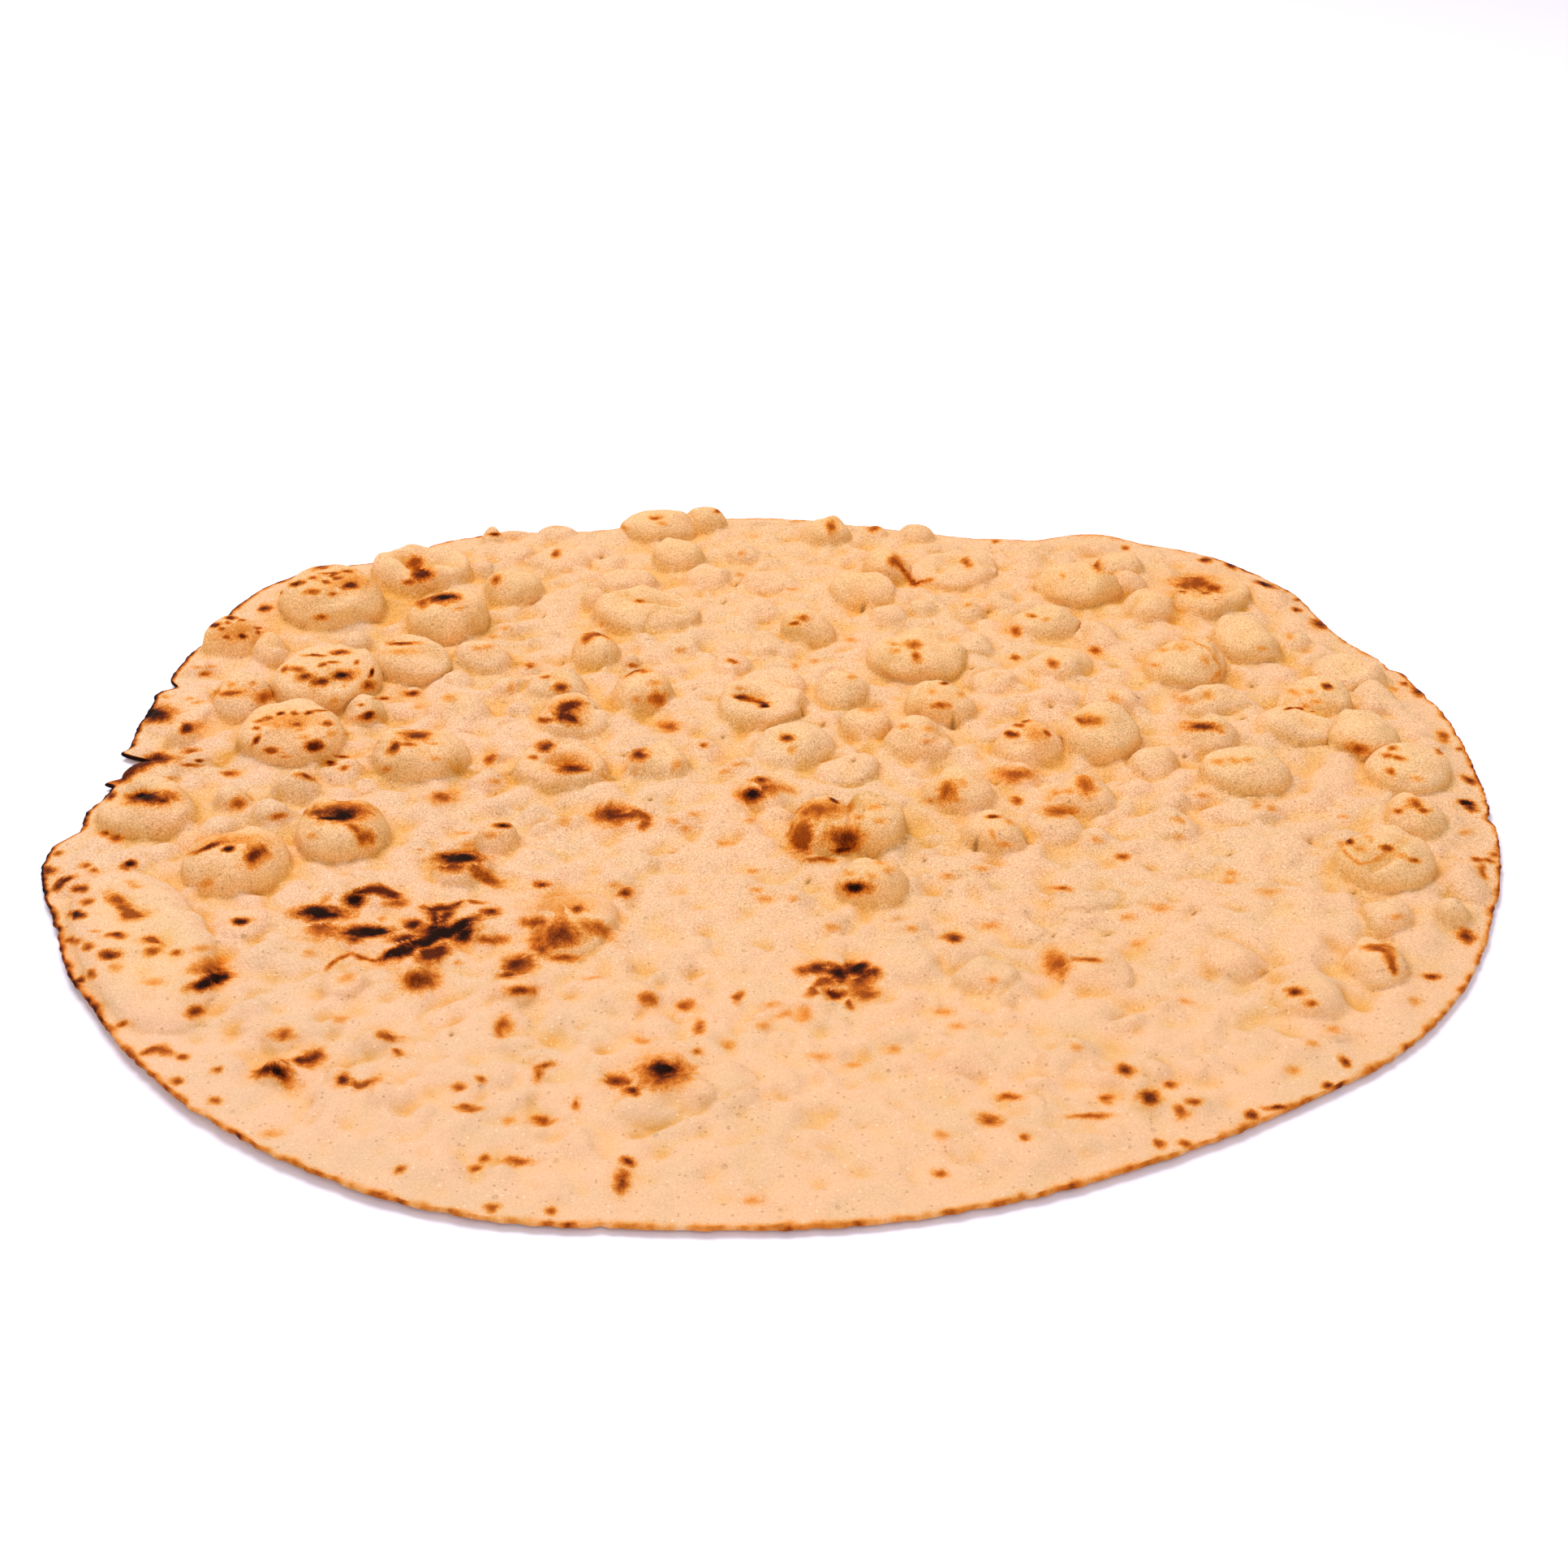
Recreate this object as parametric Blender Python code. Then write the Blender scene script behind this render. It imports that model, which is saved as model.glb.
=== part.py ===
"""Bran bread: a large round flatbread, thin, blistered all over and torn at one place on its rim.

One solid. A thin sheet of baked dough with a hand-stretched outline lies on its flat underside, and
its upper face carries blisters: balloon-like domes, low pillows, and domes whose tops have sunk.

The plan is drawn in plan units: 48 units across the bread, so that one unit is 1 cm at its real
width. X runs to the right, Y away from the eater, Z up. Bearings are in degrees, anticlockwise
from +X. The underside lies on Z = 0, and the origin is at the middle of the plan.
"""

import math

import bmesh
import bpy
import numpy as np
from mathutils import Vector
from mathutils.geometry import delaunay_2d_cdt

# --- driving dimensions ---------------------------------------------------------------------------

BREAD_WIDTH = 0.480          # metres, left to right
UNITS_ACROSS = 48.0
UNIT = BREAD_WIDTH / UNITS_ACROSS

# The rest is in plan units.
PLAN_MIDDLE = (0.1, -0.3)    # the middle of the outline; the rim and the sheet are laid out from it

SHEET_THICKNESS = 0.38       # the dough between the blisters
WAVE_HEIGHT = 0.03           # the sheet's own slow unevenness
WAVE_ACROSS = 0.55           # its waves along X and along Y, in radians a unit
WAVE_ALONG = 0.47
EDGE_THICKNESS = 0.26        # the pinched rim
EDGE_ROUND = 0.45            # how far in from the rim its upper edge starts to round off
EDGE_BEVEL = 0.06            # what the rim's upper corner loses
EDGE_BELLY = 0.35            # how far up the rim's side it is widest, as a fraction
FOOT_INSET = 1.5             # the flat underside stops this far inside the rim
RIM_LIFT = 0.06              # the rim stands clear of the table by this much at least
RIM_RISE = 2.5               # the width of the band that rises to the rim
RIM_SEGMENTS = 96
RIM_JAG = 0.10               # the ragged rim, in and out
RIM_SEED = 11
LATTICE_STEP = 2.6           # spacing of the sheet's inner points
LATTICE_CLEARANCE = 1.5      # they keep this far inside the rim

# How far the rim lies from the middle, for every ten degrees from +X.
RIM_RADII = (
    23.9, 24.2, 24.5, 24.4, 25.7, 26.0, 24.3, 22.8, 22.8,
    23.4, 23.5, 23.5, 24.9, 25.1, 26.0, 24.8, 23.9, 23.2,
    22.9, 24.4, 24.3, 24.4, 24.6, 24.8, 24.8, 24.6, 23.9,
    23.6, 23.4, 23.2, 23.1, 23.3, 23.8, 23.9, 23.8, 23.9,
)

TEAR_BEARING = 174.0         # the notch torn in the left of the rim
TEAR_DEPTH = 1.1
TEAR_HALF_WIDTH = 2.4        # degrees
TEAR_CLEARANCE = 1.0         # degrees kept free of other rim points beside it

# Stretches of rim that curl up: bearing, half-width in degrees, extra lift.
RIM_CURLS = (
    (59.0, 4.0, 0.30),
    (150.0, 16.0, 0.20),
    (222.0, 26.0, 0.22),
    (12.0, 14.0, 0.18),
    (300.0, 30.0, 0.05),
)

# Broad swells of the sheet itself: x, y, radius, height.
SWELLS = (
    (-2.8, -17.6, 2.6, 0.22),
    (-9.6, -18.0, 2.8, 0.14),
    (6.0, -17.0, 3.2, 0.12),
    (16.6, -5.6, 2.2, 0.22),
    (12.8, -9.2, 2.0, 0.20),
    (-14.8, -8.0, 1.8, 0.15),
    (18.8, 14.4, 1.8, 0.22),
    (10.0, 6.2, 1.8, 0.20),
)

# Blisters: x, y, half-width, half-depth, height above the sheet.
# Great domes, nearly half balls.
GREAT_DOMES = (
    (-17.1, 13.8, 2.00, 2.15, 1.55),
    (-12.5, 12.2, 1.50, 1.60, 1.45),
    (-16.4, 6.9, 2.00, 2.00, 1.50),
    (-17.0, 2.9, 1.95, 1.95, 1.40),
    (-13.5, 8.6, 1.45, 1.45, 1.15),
    (-12.3, 1.4, 1.55, 1.50, 1.20),
    (-14.3, -3.8, 1.65, 1.65, 1.30),
    (-17.4, -6.0, 1.65, 1.65, 1.35),
    (-4.9, 21.4, 1.60, 1.35, 0.85),
    (11.6, 15.3, 1.80, 1.40, 1.10),
    (5.1, 9.1, 2.00, 1.50, 1.05),
    (5.8, 5.3, 1.30, 1.30, 1.10),
    (11.2, 2.9, 1.35, 1.55, 1.25),
    (17.4, 10.3, 1.25, 1.50, 1.15),
    (14.9, 8.4, 1.45, 1.55, 1.15),
    (20.4, 2.7, 1.25, 1.40, 1.20),
    (15.9, 0.3, 1.55, 1.30, 1.00),
    (21.5, 0.5, 1.50, 1.50, 1.00),
    (19.1, 5.2, 1.35, 1.50, 1.25),
    (18.3, 3.8, 1.50, 1.35, 0.85),
    (19.9, -5.9, 1.35, 1.60, 1.30),
    (3.1, -3.3, 1.15, 1.55, 1.30),
    (1.7, -3.4, 1.20, 1.65, 1.10),
)

# Middling domes.
DOMES = (
    (-20.4, 10.6, 1.15, 1.20, 1.10),
    (-18.9, 10.0, 0.75, 0.95, 0.75),
    (-10.3, 15.2, 1.25, 1.30, 1.05),
    (-19.2, 6.0, 1.10, 1.40, 1.00),
    (-6.8, 9.7, 0.95, 0.95, 0.95),
    (-4.9, 6.3, 1.15, 1.15, 1.00),
    (-4.1, 1.0, 1.10, 1.10, 0.90),
    (-3.1, 21.8, 0.95, 0.95, 0.85),
    (-4.0, 18.3, 1.10, 1.15, 0.95),
    (1.9, 20.5, 1.05, 1.00, 0.85),
    (3.3, 15.1, 1.35, 1.25, 0.85),
    (4.3, 17.3, 1.00, 1.00, 0.85),
    (13.4, 15.8, 1.00, 0.90, 0.55),
    (14.2, 13.6, 1.15, 1.10, 0.85),
    (13.4, 17.4, 1.05, 1.00, 0.65),
    (1.1, 11.7, 1.10, 1.10, 0.90),
    (2.3, 6.6, 1.00, 1.00, 0.85),
    (3.1, 4.0, 0.90, 0.90, 0.85),
    (10.1, 12.1, 1.40, 1.10, 0.85),
    (10.4, 8.6, 1.30, 1.25, 0.75),
    (4.9, 2.7, 1.20, 1.20, 0.90),
    (8.7, 2.3, 1.20, 1.20, 1.10),
    (20.8, 8.0, 1.40, 1.35, 0.75),
    (12.9, 1.1, 0.95, 0.95, 0.80),
    (15.1, 3.1, 1.00, 1.00, 0.75),
    (18.5, -5.7, 0.60, 1.10, 0.85),
    (21.1, -2.8, 1.05, 1.10, 0.95),
    (3.0, -7.1, 1.10, 1.10, 1.05),
    (6.1, -1.1, 1.20, 1.20, 1.00),
    (7.1, -3.8, 1.10, 1.10, 0.90),
    (10.3, -1.3, 1.05, 1.05, 0.80),
    (-0.4, -0.9, 1.00, 1.00, 0.65),
    (-8.0, 7.0, 1.10, 1.10, 0.75),
    (-11.4, 5.0, 1.20, 1.15, 0.75),
    (-7.3, 4.5, 1.35, 1.30, 0.75),
    (-10.9, 9.3, 1.10, 1.10, 0.80),
    (0.5, 2.3, 1.50, 1.30, 0.75),
    (-10.2, -6.0, 1.00, 1.00, 0.70),
    (18.9, -8.9, 0.95, 0.95, 0.65),
    (18.2, -11.5, 1.00, 1.20, 0.80),
)

# Small domes.
SMALL_DOMES = (
    (-18.3, -1.4, 0.65, 0.70, 0.70),
    (-16.3, -0.5, 0.80, 0.80, 0.65),
    (-20.8, 3.1, 0.65, 0.65, 0.75),
    (-15.0, 0.6, 0.75, 0.80, 0.55),
    (-14.7, 5.0, 0.75, 0.75, 0.75),
    (-15.9, 10.7, 0.65, 0.65, 0.55),
    (-9.2, -4.1, 0.75, 0.75, 0.75),
    (-7.1, 14.2, 0.60, 0.60, 0.60),
    (-2.8, 16.5, 0.90, 0.90, 0.55),
    (7.3, 13.4, 0.65, 0.65, 0.60),
    (5.5, 13.7, 0.60, 0.60, 0.50),
    (4.2, 13.1, 0.85, 0.80, 0.45),
    (5.6, 20.7, 0.75, 0.75, 0.60),
    (10.2, 18.2, 1.00, 0.95, 0.50),
    (21.5, 6.4, 0.75, 0.75, 0.50),
    (19.2, 10.8, 0.75, 0.75, 0.50),
    (21.1, -8.5, 0.55, 0.60, 0.45),
    (-21.3, 8.6, 0.50, 0.60, 0.35),
    (-9.0, 21.1, 0.80, 0.80, 0.45),
    (-10.9, 21.3, 0.90, 0.60, 0.40),
    (8.6, 14.5, 0.80, 0.70, 0.35),
    (3.9, 21.0, 0.55, 0.55, 0.40),
    (12.4, 19.1, 0.70, 0.65, 0.40),
    (-1.5, 18.7, 0.70, 0.70, 0.45),
    (-8.9, 13.9, 0.60, 0.50, 0.35),
    (-9.8, 7.2, 0.70, 0.70, 0.50),
    (-9.9, 0.0, 0.75, 0.75, 0.45),
    (-11.7, 7.7, 0.65, 0.70, 0.35),
    (15.7, -13.4, 0.90, 1.00, 0.50),
    (13.8, -11.3, 0.75, 0.85, 0.40),
    (9.5, -12.0, 0.90, 0.90, 0.40),
    (-16.7, -9.3, 0.95, 0.95, 0.40),
    (-20.9, -5.4, 0.60, 0.60, 0.32),
    (-13.0, -12.6, 0.75, 0.80, 0.35),
)

# The long pocket that lies along the rim, and its turn in degrees.
POCKET = (-19.5, -10.5, 2.15, 4.90, 0.42)
POCKET_TURN = 25.0

# Low pillows, flat on top.
PILLOWS = (
    (-21.3, 5.0, 1.20, 1.60, 0.42),
    (-21.4, 0.6, 1.00, 1.10, 0.50),
    (-5.9, 15.9, 1.15, 0.80, 0.50),
    (-0.2, 7.3, 1.30, 0.90, 0.50),
    (-0.5, 10.5, 0.80, 0.80, 0.45),
    (-0.5, 16.2, 1.05, 0.90, 0.40),
    (-1.0, 13.7, 1.00, 0.90, 0.35),
    (-1.7, 8.9, 0.75, 0.75, 0.35),
    (-8.7, 18.2, 1.20, 1.10, 0.45),
    (-10.7, 18.9, 0.90, 0.90, 0.35),
    (-6.3, -9.1, 1.35, 1.80, 0.55),
    (16.0, -9.2, 1.80, 1.80, 0.45),
    (22.0, -6.6, 0.75, 1.10, 0.35),
    (9.2, -3.0, 0.95, 1.00, 0.45),
    (15.5, -2.1, 1.40, 0.80, 0.35),
    (13.1, -3.1, 0.80, 0.85, 0.40),
    (15.6, 5.8, 1.30, 1.00, 0.70),
    (12.0, 6.0, 1.15, 0.95, 0.50),
    (7.8, 7.3, 0.90, 0.90, 0.50),
    (7.3, 10.3, 0.70, 1.00, 0.45),
    (11.9, 11.4, 0.75, 1.20, 0.40),
    (2.4, 0.7, 1.20, 0.90, 0.50),
    (8.3, 0.4, 0.75, 0.80, 0.35),
    (9.7, -7.6, 1.20, 0.80, 0.32),
    (6.2, -12.2, 0.80, 0.70, 0.32),
    (-5.2, -2.3, 0.95, 0.90, 0.35),
    (-10.9, 2.8, 0.75, 0.80, 0.35),
)
PILLOW_FULLNESS = 0.65       # below 1 the top is flatter and the flanks steeper

# Blisters whose tops have sunk: x, y, half-width, half-depth, height, then the hollow's place,
# radius and depth as fractions of the blister.
SUNKEN = (
    (-14.0, 16.9, 1.90, 1.90, 0.90, 0.05, 0.05, 0.55, 0.85),
    (-0.6, 5.5, 1.65, 1.65, 1.25, -0.10, 0.15, 0.42, 0.75),
    (-7.4, 0.7, 1.55, 1.55, 1.10, 0.15, 0.05, 0.50, 0.85),
    (-21.0, -2.2, 1.65, 1.65, 1.25, -0.15, 0.30, 0.42, 0.60),
    (16.7, 14.5, 1.55, 1.55, 0.85, 0.05, 0.10, 0.55, 0.70),
    (6.9, 17.2, 1.70, 1.65, 0.60, 0.10, 0.10, 0.60, 0.50),
    (-5.0, 13.0, 2.00, 1.60, 1.00, 0.30, 0.05, 0.50, 0.60),
)

# Each kind of blister: how many segments around, and rings from pole to pole.
GREAT_FACETS = (12, 8)
DOME_FACETS = (10, 6)
SMALL_FACETS = (8, 4)
SUNKEN_FACETS = (14, 12)
PILLOW_FACETS = (8, 6)

ROOT = 0.14                  # how deep a blister reaches into the sheet below its foot
FOOT_SINK = 0.10             # its widest ring lies this far under the sheet's face
UNEVEN = 0.07                # how far a blister's outline strays from an ellipse, as a fraction
SLUMP = 0.10                 # how far its top leans off its middle, as a fraction

SHORTEST_EDGE = 0.00003      # metres; anything shorter left by the union is dissolved
CRUST_COLOUR = (0.74, 0.50, 0.29, 1.0)
CRUST_ROUGHNESS = 0.82
SMOOTH_ANGLE = math.radians(55.0)


# --- the sheet ------------------------------------------------------------------------------------

def rim_radius(bearing):
    """The outline's distance from the middle: a smooth closed curve through RIM_RADII, less the tear."""
    step = 360.0 / len(RIM_RADII)
    place = (bearing % 360.0) / step
    index = int(place)
    t = place - index
    before, here, there, beyond = (RIM_RADII[(index + k) % len(RIM_RADII)] for k in (-1, 0, 1, 2))
    smooth = here + 0.5 * t * (there - before + t * (
        2 * before - 5 * here + 4 * there - beyond + t * (3 * (here - there) + beyond - before)))
    off_tear = abs((bearing - TEAR_BEARING + 180.0) % 360.0 - 180.0)
    return smooth - TEAR_DEPTH * max(0.0, 1.0 - off_tear / TEAR_HALF_WIDTH)


def rim_lift(bearing):
    """How far the rim's underside stands above the table."""
    lift = RIM_LIFT
    for centre, half_width, height in RIM_CURLS:
        off = (bearing - centre + 180.0) % 360.0 - 180.0
        lift += height * math.exp(-(off / half_width) ** 2)
    return lift


def sheet_height(x, y):
    """The height of the sheet's upper face at a place measured from the middle of the plan."""
    bearing = math.degrees(math.atan2(y, x))
    height = SHEET_THICKNESS
    height += WAVE_HEIGHT * math.sin(WAVE_ACROSS * x) * math.cos(WAVE_ALONG * y)
    for sx, sy, radius, swell in SWELLS:
        away = math.hypot(x + PLAN_MIDDLE[0] - sx, y + PLAN_MIDDLE[1] - sy)
        height += swell * math.exp(-(away / radius) ** 2)
    inside = rim_radius(bearing) - math.hypot(x, y)
    rise = min(1.0, max(0.0, 1.0 - inside / RIM_RISE))
    return height + rim_lift(bearing) * rise * rise


def on_bearing(bearing, radius, height):
    angle = math.radians(bearing)
    return Vector((radius * math.cos(angle), radius * math.sin(angle), height))


def rim_bearings():
    """Even bearings round the rim, with the tear's own three corners in place of those near it."""
    tear = [TEAR_BEARING - TEAR_HALF_WIDTH, TEAR_BEARING, TEAR_BEARING + TEAR_HALF_WIDTH]
    even = [k * 360.0 / RIM_SEGMENTS for k in range(RIM_SEGMENTS)]
    clear = [b for b in even if abs(b - TEAR_BEARING) > TEAR_HALF_WIDTH + TEAR_CLEARANCE]
    return sorted(clear + tear)


def make_sheet():
    """The dough itself: a triangulated upper face, a rounded ragged rim and a flat underside."""
    rng = np.random.default_rng(RIM_SEED)
    bearings = rim_bearings()
    radii = [rim_radius(b) + RIM_JAG * rng.uniform(-1.0, 1.0) for b in bearings]

    shoulder = [on_bearing(b, r - EDGE_ROUND, 0.0).to_2d() for b, r in zip(bearings, radii)]
    inner = []
    rows = int(2 * max(radii) / LATTICE_STEP)
    for row in range(-rows, rows + 1):
        for column in range(-rows, rows + 1):
            x = (column + 0.5 * (row % 2)) * LATTICE_STEP
            y = row * LATTICE_STEP * math.sqrt(0.75)
            if math.hypot(x, y) < rim_radius(math.degrees(math.atan2(y, x))) - LATTICE_CLEARANCE:
                inner.append(Vector((x, y)))
    outline = [list(range(len(shoulder)))]
    places, _, triangles, _, _, _ = delaunay_2d_cdt(shoulder + inner, [], outline, 1, 0.0001)

    bm = bmesh.new()
    top = [bm.verts.new((p.x, p.y, sheet_height(p.x, p.y))) for p in places]
    for triangle in triangles:
        bm.faces.new([top[k] for k in triangle])

    def extrude_rim(inset, height):
        """Extrude the open edge and move each new vertex to its bearing's place."""
        edges = [e for e in bm.edges if e.is_boundary]
        grown = bmesh.ops.extrude_edge_only(bm, edges=edges)["geom"]
        for vert in (g for g in grown if isinstance(g, bmesh.types.BMVert)):
            bearing = math.degrees(math.atan2(vert.co.y, vert.co.x)) % 360.0
            nearest = min(range(len(bearings)), key=lambda k: abs(bearings[k] - bearing))
            vert.co = on_bearing(bearings[nearest], radii[nearest] - inset, height(bearing))

    extrude_rim(EDGE_BEVEL, lambda b: rim_lift(b) + EDGE_THICKNESS)
    extrude_rim(0.0, lambda b: rim_lift(b) + EDGE_BELLY * EDGE_THICKNESS)
    extrude_rim(FOOT_INSET, lambda b: 0.0)
    bmesh.ops.holes_fill(bm, edges=[e for e in bm.edges if e.is_boundary], sides=0)
    bmesh.ops.triangulate(bm, faces=[f for f in bm.faces if len(f.verts) > 3])
    bmesh.ops.recalc_face_normals(bm, faces=bm.faces)
    return bm


# --- the blisters ---------------------------------------------------------------------------------

def make_blister(x, y, half_width, half_depth, height, facets, fullness=1.0, turn=0.0, hollow=None):
    """A ball drawn out to the blister's size, flattened below its foot, uneven, and dented if sunk."""
    around, rings = facets
    px, py = x - PLAN_MIDDLE[0], y - PLAN_MIDDLE[1]
    foot = sheet_height(px, py) - FOOT_SINK
    phase = 1.7 * x + 2.3 * y
    bm = bmesh.new()
    bmesh.ops.create_uvsphere(bm, u_segments=around, v_segments=rings, radius=1.0)
    for vert in bm.verts:
        u, v, w = vert.co
        bearing = math.atan2(v, u)
        stray = 1.0 + UNEVEN * math.sin(2 * bearing + phase) + 0.5 * UNEVEN * math.sin(3 * bearing - phase)
        if w > 0.0:
            rise = w ** fullness
            if hollow:
                hx, hy, radius, depth = hollow
                rise *= 1.0 - depth * math.exp(-((u - hx) ** 2 + (v - hy) ** 2) / radius ** 2)
            up = height * rise + FOOT_SINK * w
        else:
            up = ROOT * w
        lean = SLUMP * max(0.0, w)
        u, v = u * stray + lean * math.cos(phase), v * stray + lean * math.sin(phase)
        along, across = half_width * u, half_depth * v
        cos_turn, sin_turn = math.cos(math.radians(turn)), math.sin(math.radians(turn))
        vert.co = (
            px + along * cos_turn - across * sin_turn,
            py + along * sin_turn + across * cos_turn,
            foot + up,
        )
    return bm


def all_blisters():
    """Every blister's mesh in turn, the largest kinds first."""
    for x, y, a, b, h, hx, hy, radius, depth in SUNKEN:
        yield make_blister(x, y, a, b, h, SUNKEN_FACETS, hollow=(hx, hy, radius, depth))
    for row in GREAT_DOMES:
        yield make_blister(*row, GREAT_FACETS)
    for row in DOMES:
        yield make_blister(*row, DOME_FACETS)
    for row in SMALL_DOMES:
        yield make_blister(*row, SMALL_FACETS)
    yield make_blister(*POCKET, GREAT_FACETS, PILLOW_FULLNESS, POCKET_TURN)
    for row in PILLOWS:
        yield make_blister(*row, PILLOW_FACETS, PILLOW_FULLNESS)


# --- putting it together --------------------------------------------------------------------------

def to_object(bm, name, collection):
    """Write a bmesh in plan units to a new object in metres."""
    bmesh.ops.scale(bm, vec=Vector((UNIT, UNIT, UNIT)), verts=bm.verts)
    mesh = bpy.data.meshes.new(name)
    bm.to_mesh(mesh)
    bm.free()
    obj = bpy.data.objects.new(name, mesh)
    collection.objects.link(obj)
    return obj


def new_collection(name):
    collection = bpy.data.collections.new(name)
    bpy.context.scene.collection.children.link(collection)
    return collection


def crust_material():
    material = bpy.data.materials.new("crust")
    material.use_nodes = True
    shader = material.node_tree.nodes["Principled BSDF"]
    shader.inputs["Base Color"].default_value = CRUST_COLOUR
    shader.inputs["Roughness"].default_value = CRUST_ROUGHNESS
    shader.inputs["Metallic"].default_value = 0.0
    return material


def fuse(body, collection):
    """Join the collection's objects to the body by one Boolean union, apply it and remove them."""
    union = body.modifiers.new("blisters", 'BOOLEAN')
    union.operation = 'UNION'
    union.operand_type = 'COLLECTION'
    union.collection = collection
    union.solver = 'EXACT'
    evaluated = body.evaluated_get(bpy.context.evaluated_depsgraph_get())
    fused = bpy.data.meshes.new_from_object(evaluated)
    body.modifiers.clear()
    body.data = fused
    for obj in list(collection.objects):
        bpy.data.objects.remove(obj, do_unlink=True)
    bpy.data.collections.remove(collection)


def put_origin_in_the_middle(bm):
    """Slide the plan so that the origin lies halfway across it and halfway up it."""
    for axis in (0, 1):
        places = [vert.co[axis] for vert in bm.verts]
        middle = 0.5 * (min(places) + max(places))
        for vert in bm.verts:
            vert.co[axis] -= middle


def main():
    for obj in list(bpy.data.objects):
        bpy.data.objects.remove(obj, do_unlink=True)

    bread_parts = new_collection("bran_bread")
    blisters = new_collection("blisters")
    bread = to_object(make_sheet(), "bread", bread_parts)
    for number, bm in enumerate(all_blisters()):
        to_object(bm, f"blister_{number:03d}", blisters)
    fuse(bread, blisters)

    bm = bmesh.new()
    bm.from_mesh(bread.data)
    bmesh.ops.triangulate(bm, faces=bm.faces)
    bmesh.ops.dissolve_degenerate(bm, dist=SHORTEST_EDGE, edges=bm.edges)
    bmesh.ops.triangulate(bm, faces=bm.faces)
    put_origin_in_the_middle(bm)
    bm.to_mesh(bread.data)
    bm.free()
    bread.data.name = "bread"
    bread.data.materials.clear()
    bread.data.materials.append(crust_material())
    bread.data.shade_smooth()
    bread.data.set_sharp_from_angle(angle=SMOOTH_ANGLE)


main()
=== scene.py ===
import math

import bpy
import numpy as np
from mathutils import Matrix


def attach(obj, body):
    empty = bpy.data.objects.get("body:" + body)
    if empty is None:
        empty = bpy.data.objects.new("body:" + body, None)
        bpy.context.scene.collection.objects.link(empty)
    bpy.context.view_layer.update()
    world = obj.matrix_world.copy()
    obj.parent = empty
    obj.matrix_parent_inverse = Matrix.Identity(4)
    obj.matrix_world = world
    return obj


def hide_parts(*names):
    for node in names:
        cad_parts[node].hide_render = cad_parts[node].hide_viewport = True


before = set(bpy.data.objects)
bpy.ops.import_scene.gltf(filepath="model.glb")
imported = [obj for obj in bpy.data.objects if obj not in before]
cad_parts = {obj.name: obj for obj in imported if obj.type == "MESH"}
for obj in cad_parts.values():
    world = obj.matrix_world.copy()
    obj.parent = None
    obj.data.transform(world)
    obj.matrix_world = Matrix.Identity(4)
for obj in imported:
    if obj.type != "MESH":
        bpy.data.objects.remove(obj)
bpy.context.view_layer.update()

# --- The stretched sheet --------------------------------------------------------------------------
# The real piece is bran dough, stretched by hand to an uneven round about 48 cm across and baked flat.
# Its plan is drawn in centimetres, X to the right and Y away from the eater; one grid of squares,
# bent to a disc, is its upper face and its rim, and a coarser one is its underside.

CM = 0.01
PLAN_MIDDLE = (0.106, -0.362)    # where the origin lies on the plan

# The rim's own middle, and how far from it the rim lies, for every ten degrees from +X.
RIM_MIDDLE = (0.1, -0.3)
RIM_RADII = np.array((
    23.9, 24.2, 24.5, 24.4, 25.7, 26.0, 24.3, 22.8, 22.8,
    23.4, 23.5, 23.5, 24.9, 25.1, 26.0, 24.8, 23.9, 23.2,
    22.9, 24.4, 24.3, 24.4, 24.6, 24.8, 24.8, 24.6, 23.9,
    23.6, 23.4, 23.2, 23.1, 23.3, 23.8, 23.9, 23.8, 23.9,
))
# Nicks and lobes of the rim: bearing, half-width in degrees, how far out.
RIM_NICKS = (
    (175.0, 1.4, -1.60), (172.9, 0.6, 0.35), (178.1, 0.4, 0.35), (182.6, 1.0, 0.10),
    (160.6, 0.7, -0.45), (162.4, 0.8, 0.15), (186.2, 1.6, -0.50), (201.4, 0.6, -0.14),
    (136.9, 0.9, 0.20), (130.9, 0.8, -0.20), (128.9, 0.8, 0.15), (125.4, 0.8, -0.15),
    (22.6, 0.8, -0.18), (16.2, 0.7, -0.15), (355.9, 0.8, -0.20), (64.0, 1.6, -0.25),
    (58.6, 2.2, 0.20), (152.0, 1.2, -0.15), (146.0, 1.5, 0.14), (208.0, 2.0, 0.10),
)
# Stretches of rim that curl up: bearing, half-width in degrees, lift.
RIM_CURLS = (
    (59.0, 4.0, 0.30), (150.0, 16.0, 0.20), (222.0, 26.0, 0.22), (12.0, 14.0, 0.18), (300.0, 30.0, 0.05),
)
SHEET_THICKNESS = 0.38
RIM_THICKNESS = 0.17
RIM_LIFT = 0.04                  # the whole rim stands clear of the floor by this much
RIM_RISE = 2.5                   # the width of the band that rises to it
NOSE = 0.11                      # how far in from the rim its edge starts to round over


def turned(bearing, centre):
    """The angle from centre to bearing in degrees, between -180 and 180."""
    return (bearing - centre + 180.0) % 360.0 - 180.0


def smooth_step(low, high, value):
    """0 below low, 1 above high, and 3t^2 - 2t^3 between them."""
    t = np.clip((value - low) / (high - low), 0.0, 1.0)
    return t * t * (3.0 - 2.0 * t)


def ripple(x, y, wavelength, seed, waves=18):
    """Smooth uneven relief: sine waves of about one length, each with its own direction and start,
    added together and scaled so that most of it lies between -1 and 1."""
    rng = np.random.default_rng(seed)
    total = np.zeros_like(x)
    circle = 2.0 * math.pi
    for way, start, stretch in rng.uniform((0.0, 0.0, 0.7), (circle, circle, 1.4), (waves, 3)):
        pace = circle / (wavelength * stretch)
        total += np.sin(pace * (x * math.cos(way) + y * math.sin(way)) + start)
    return total / math.sqrt(2.0 * waves)


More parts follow.
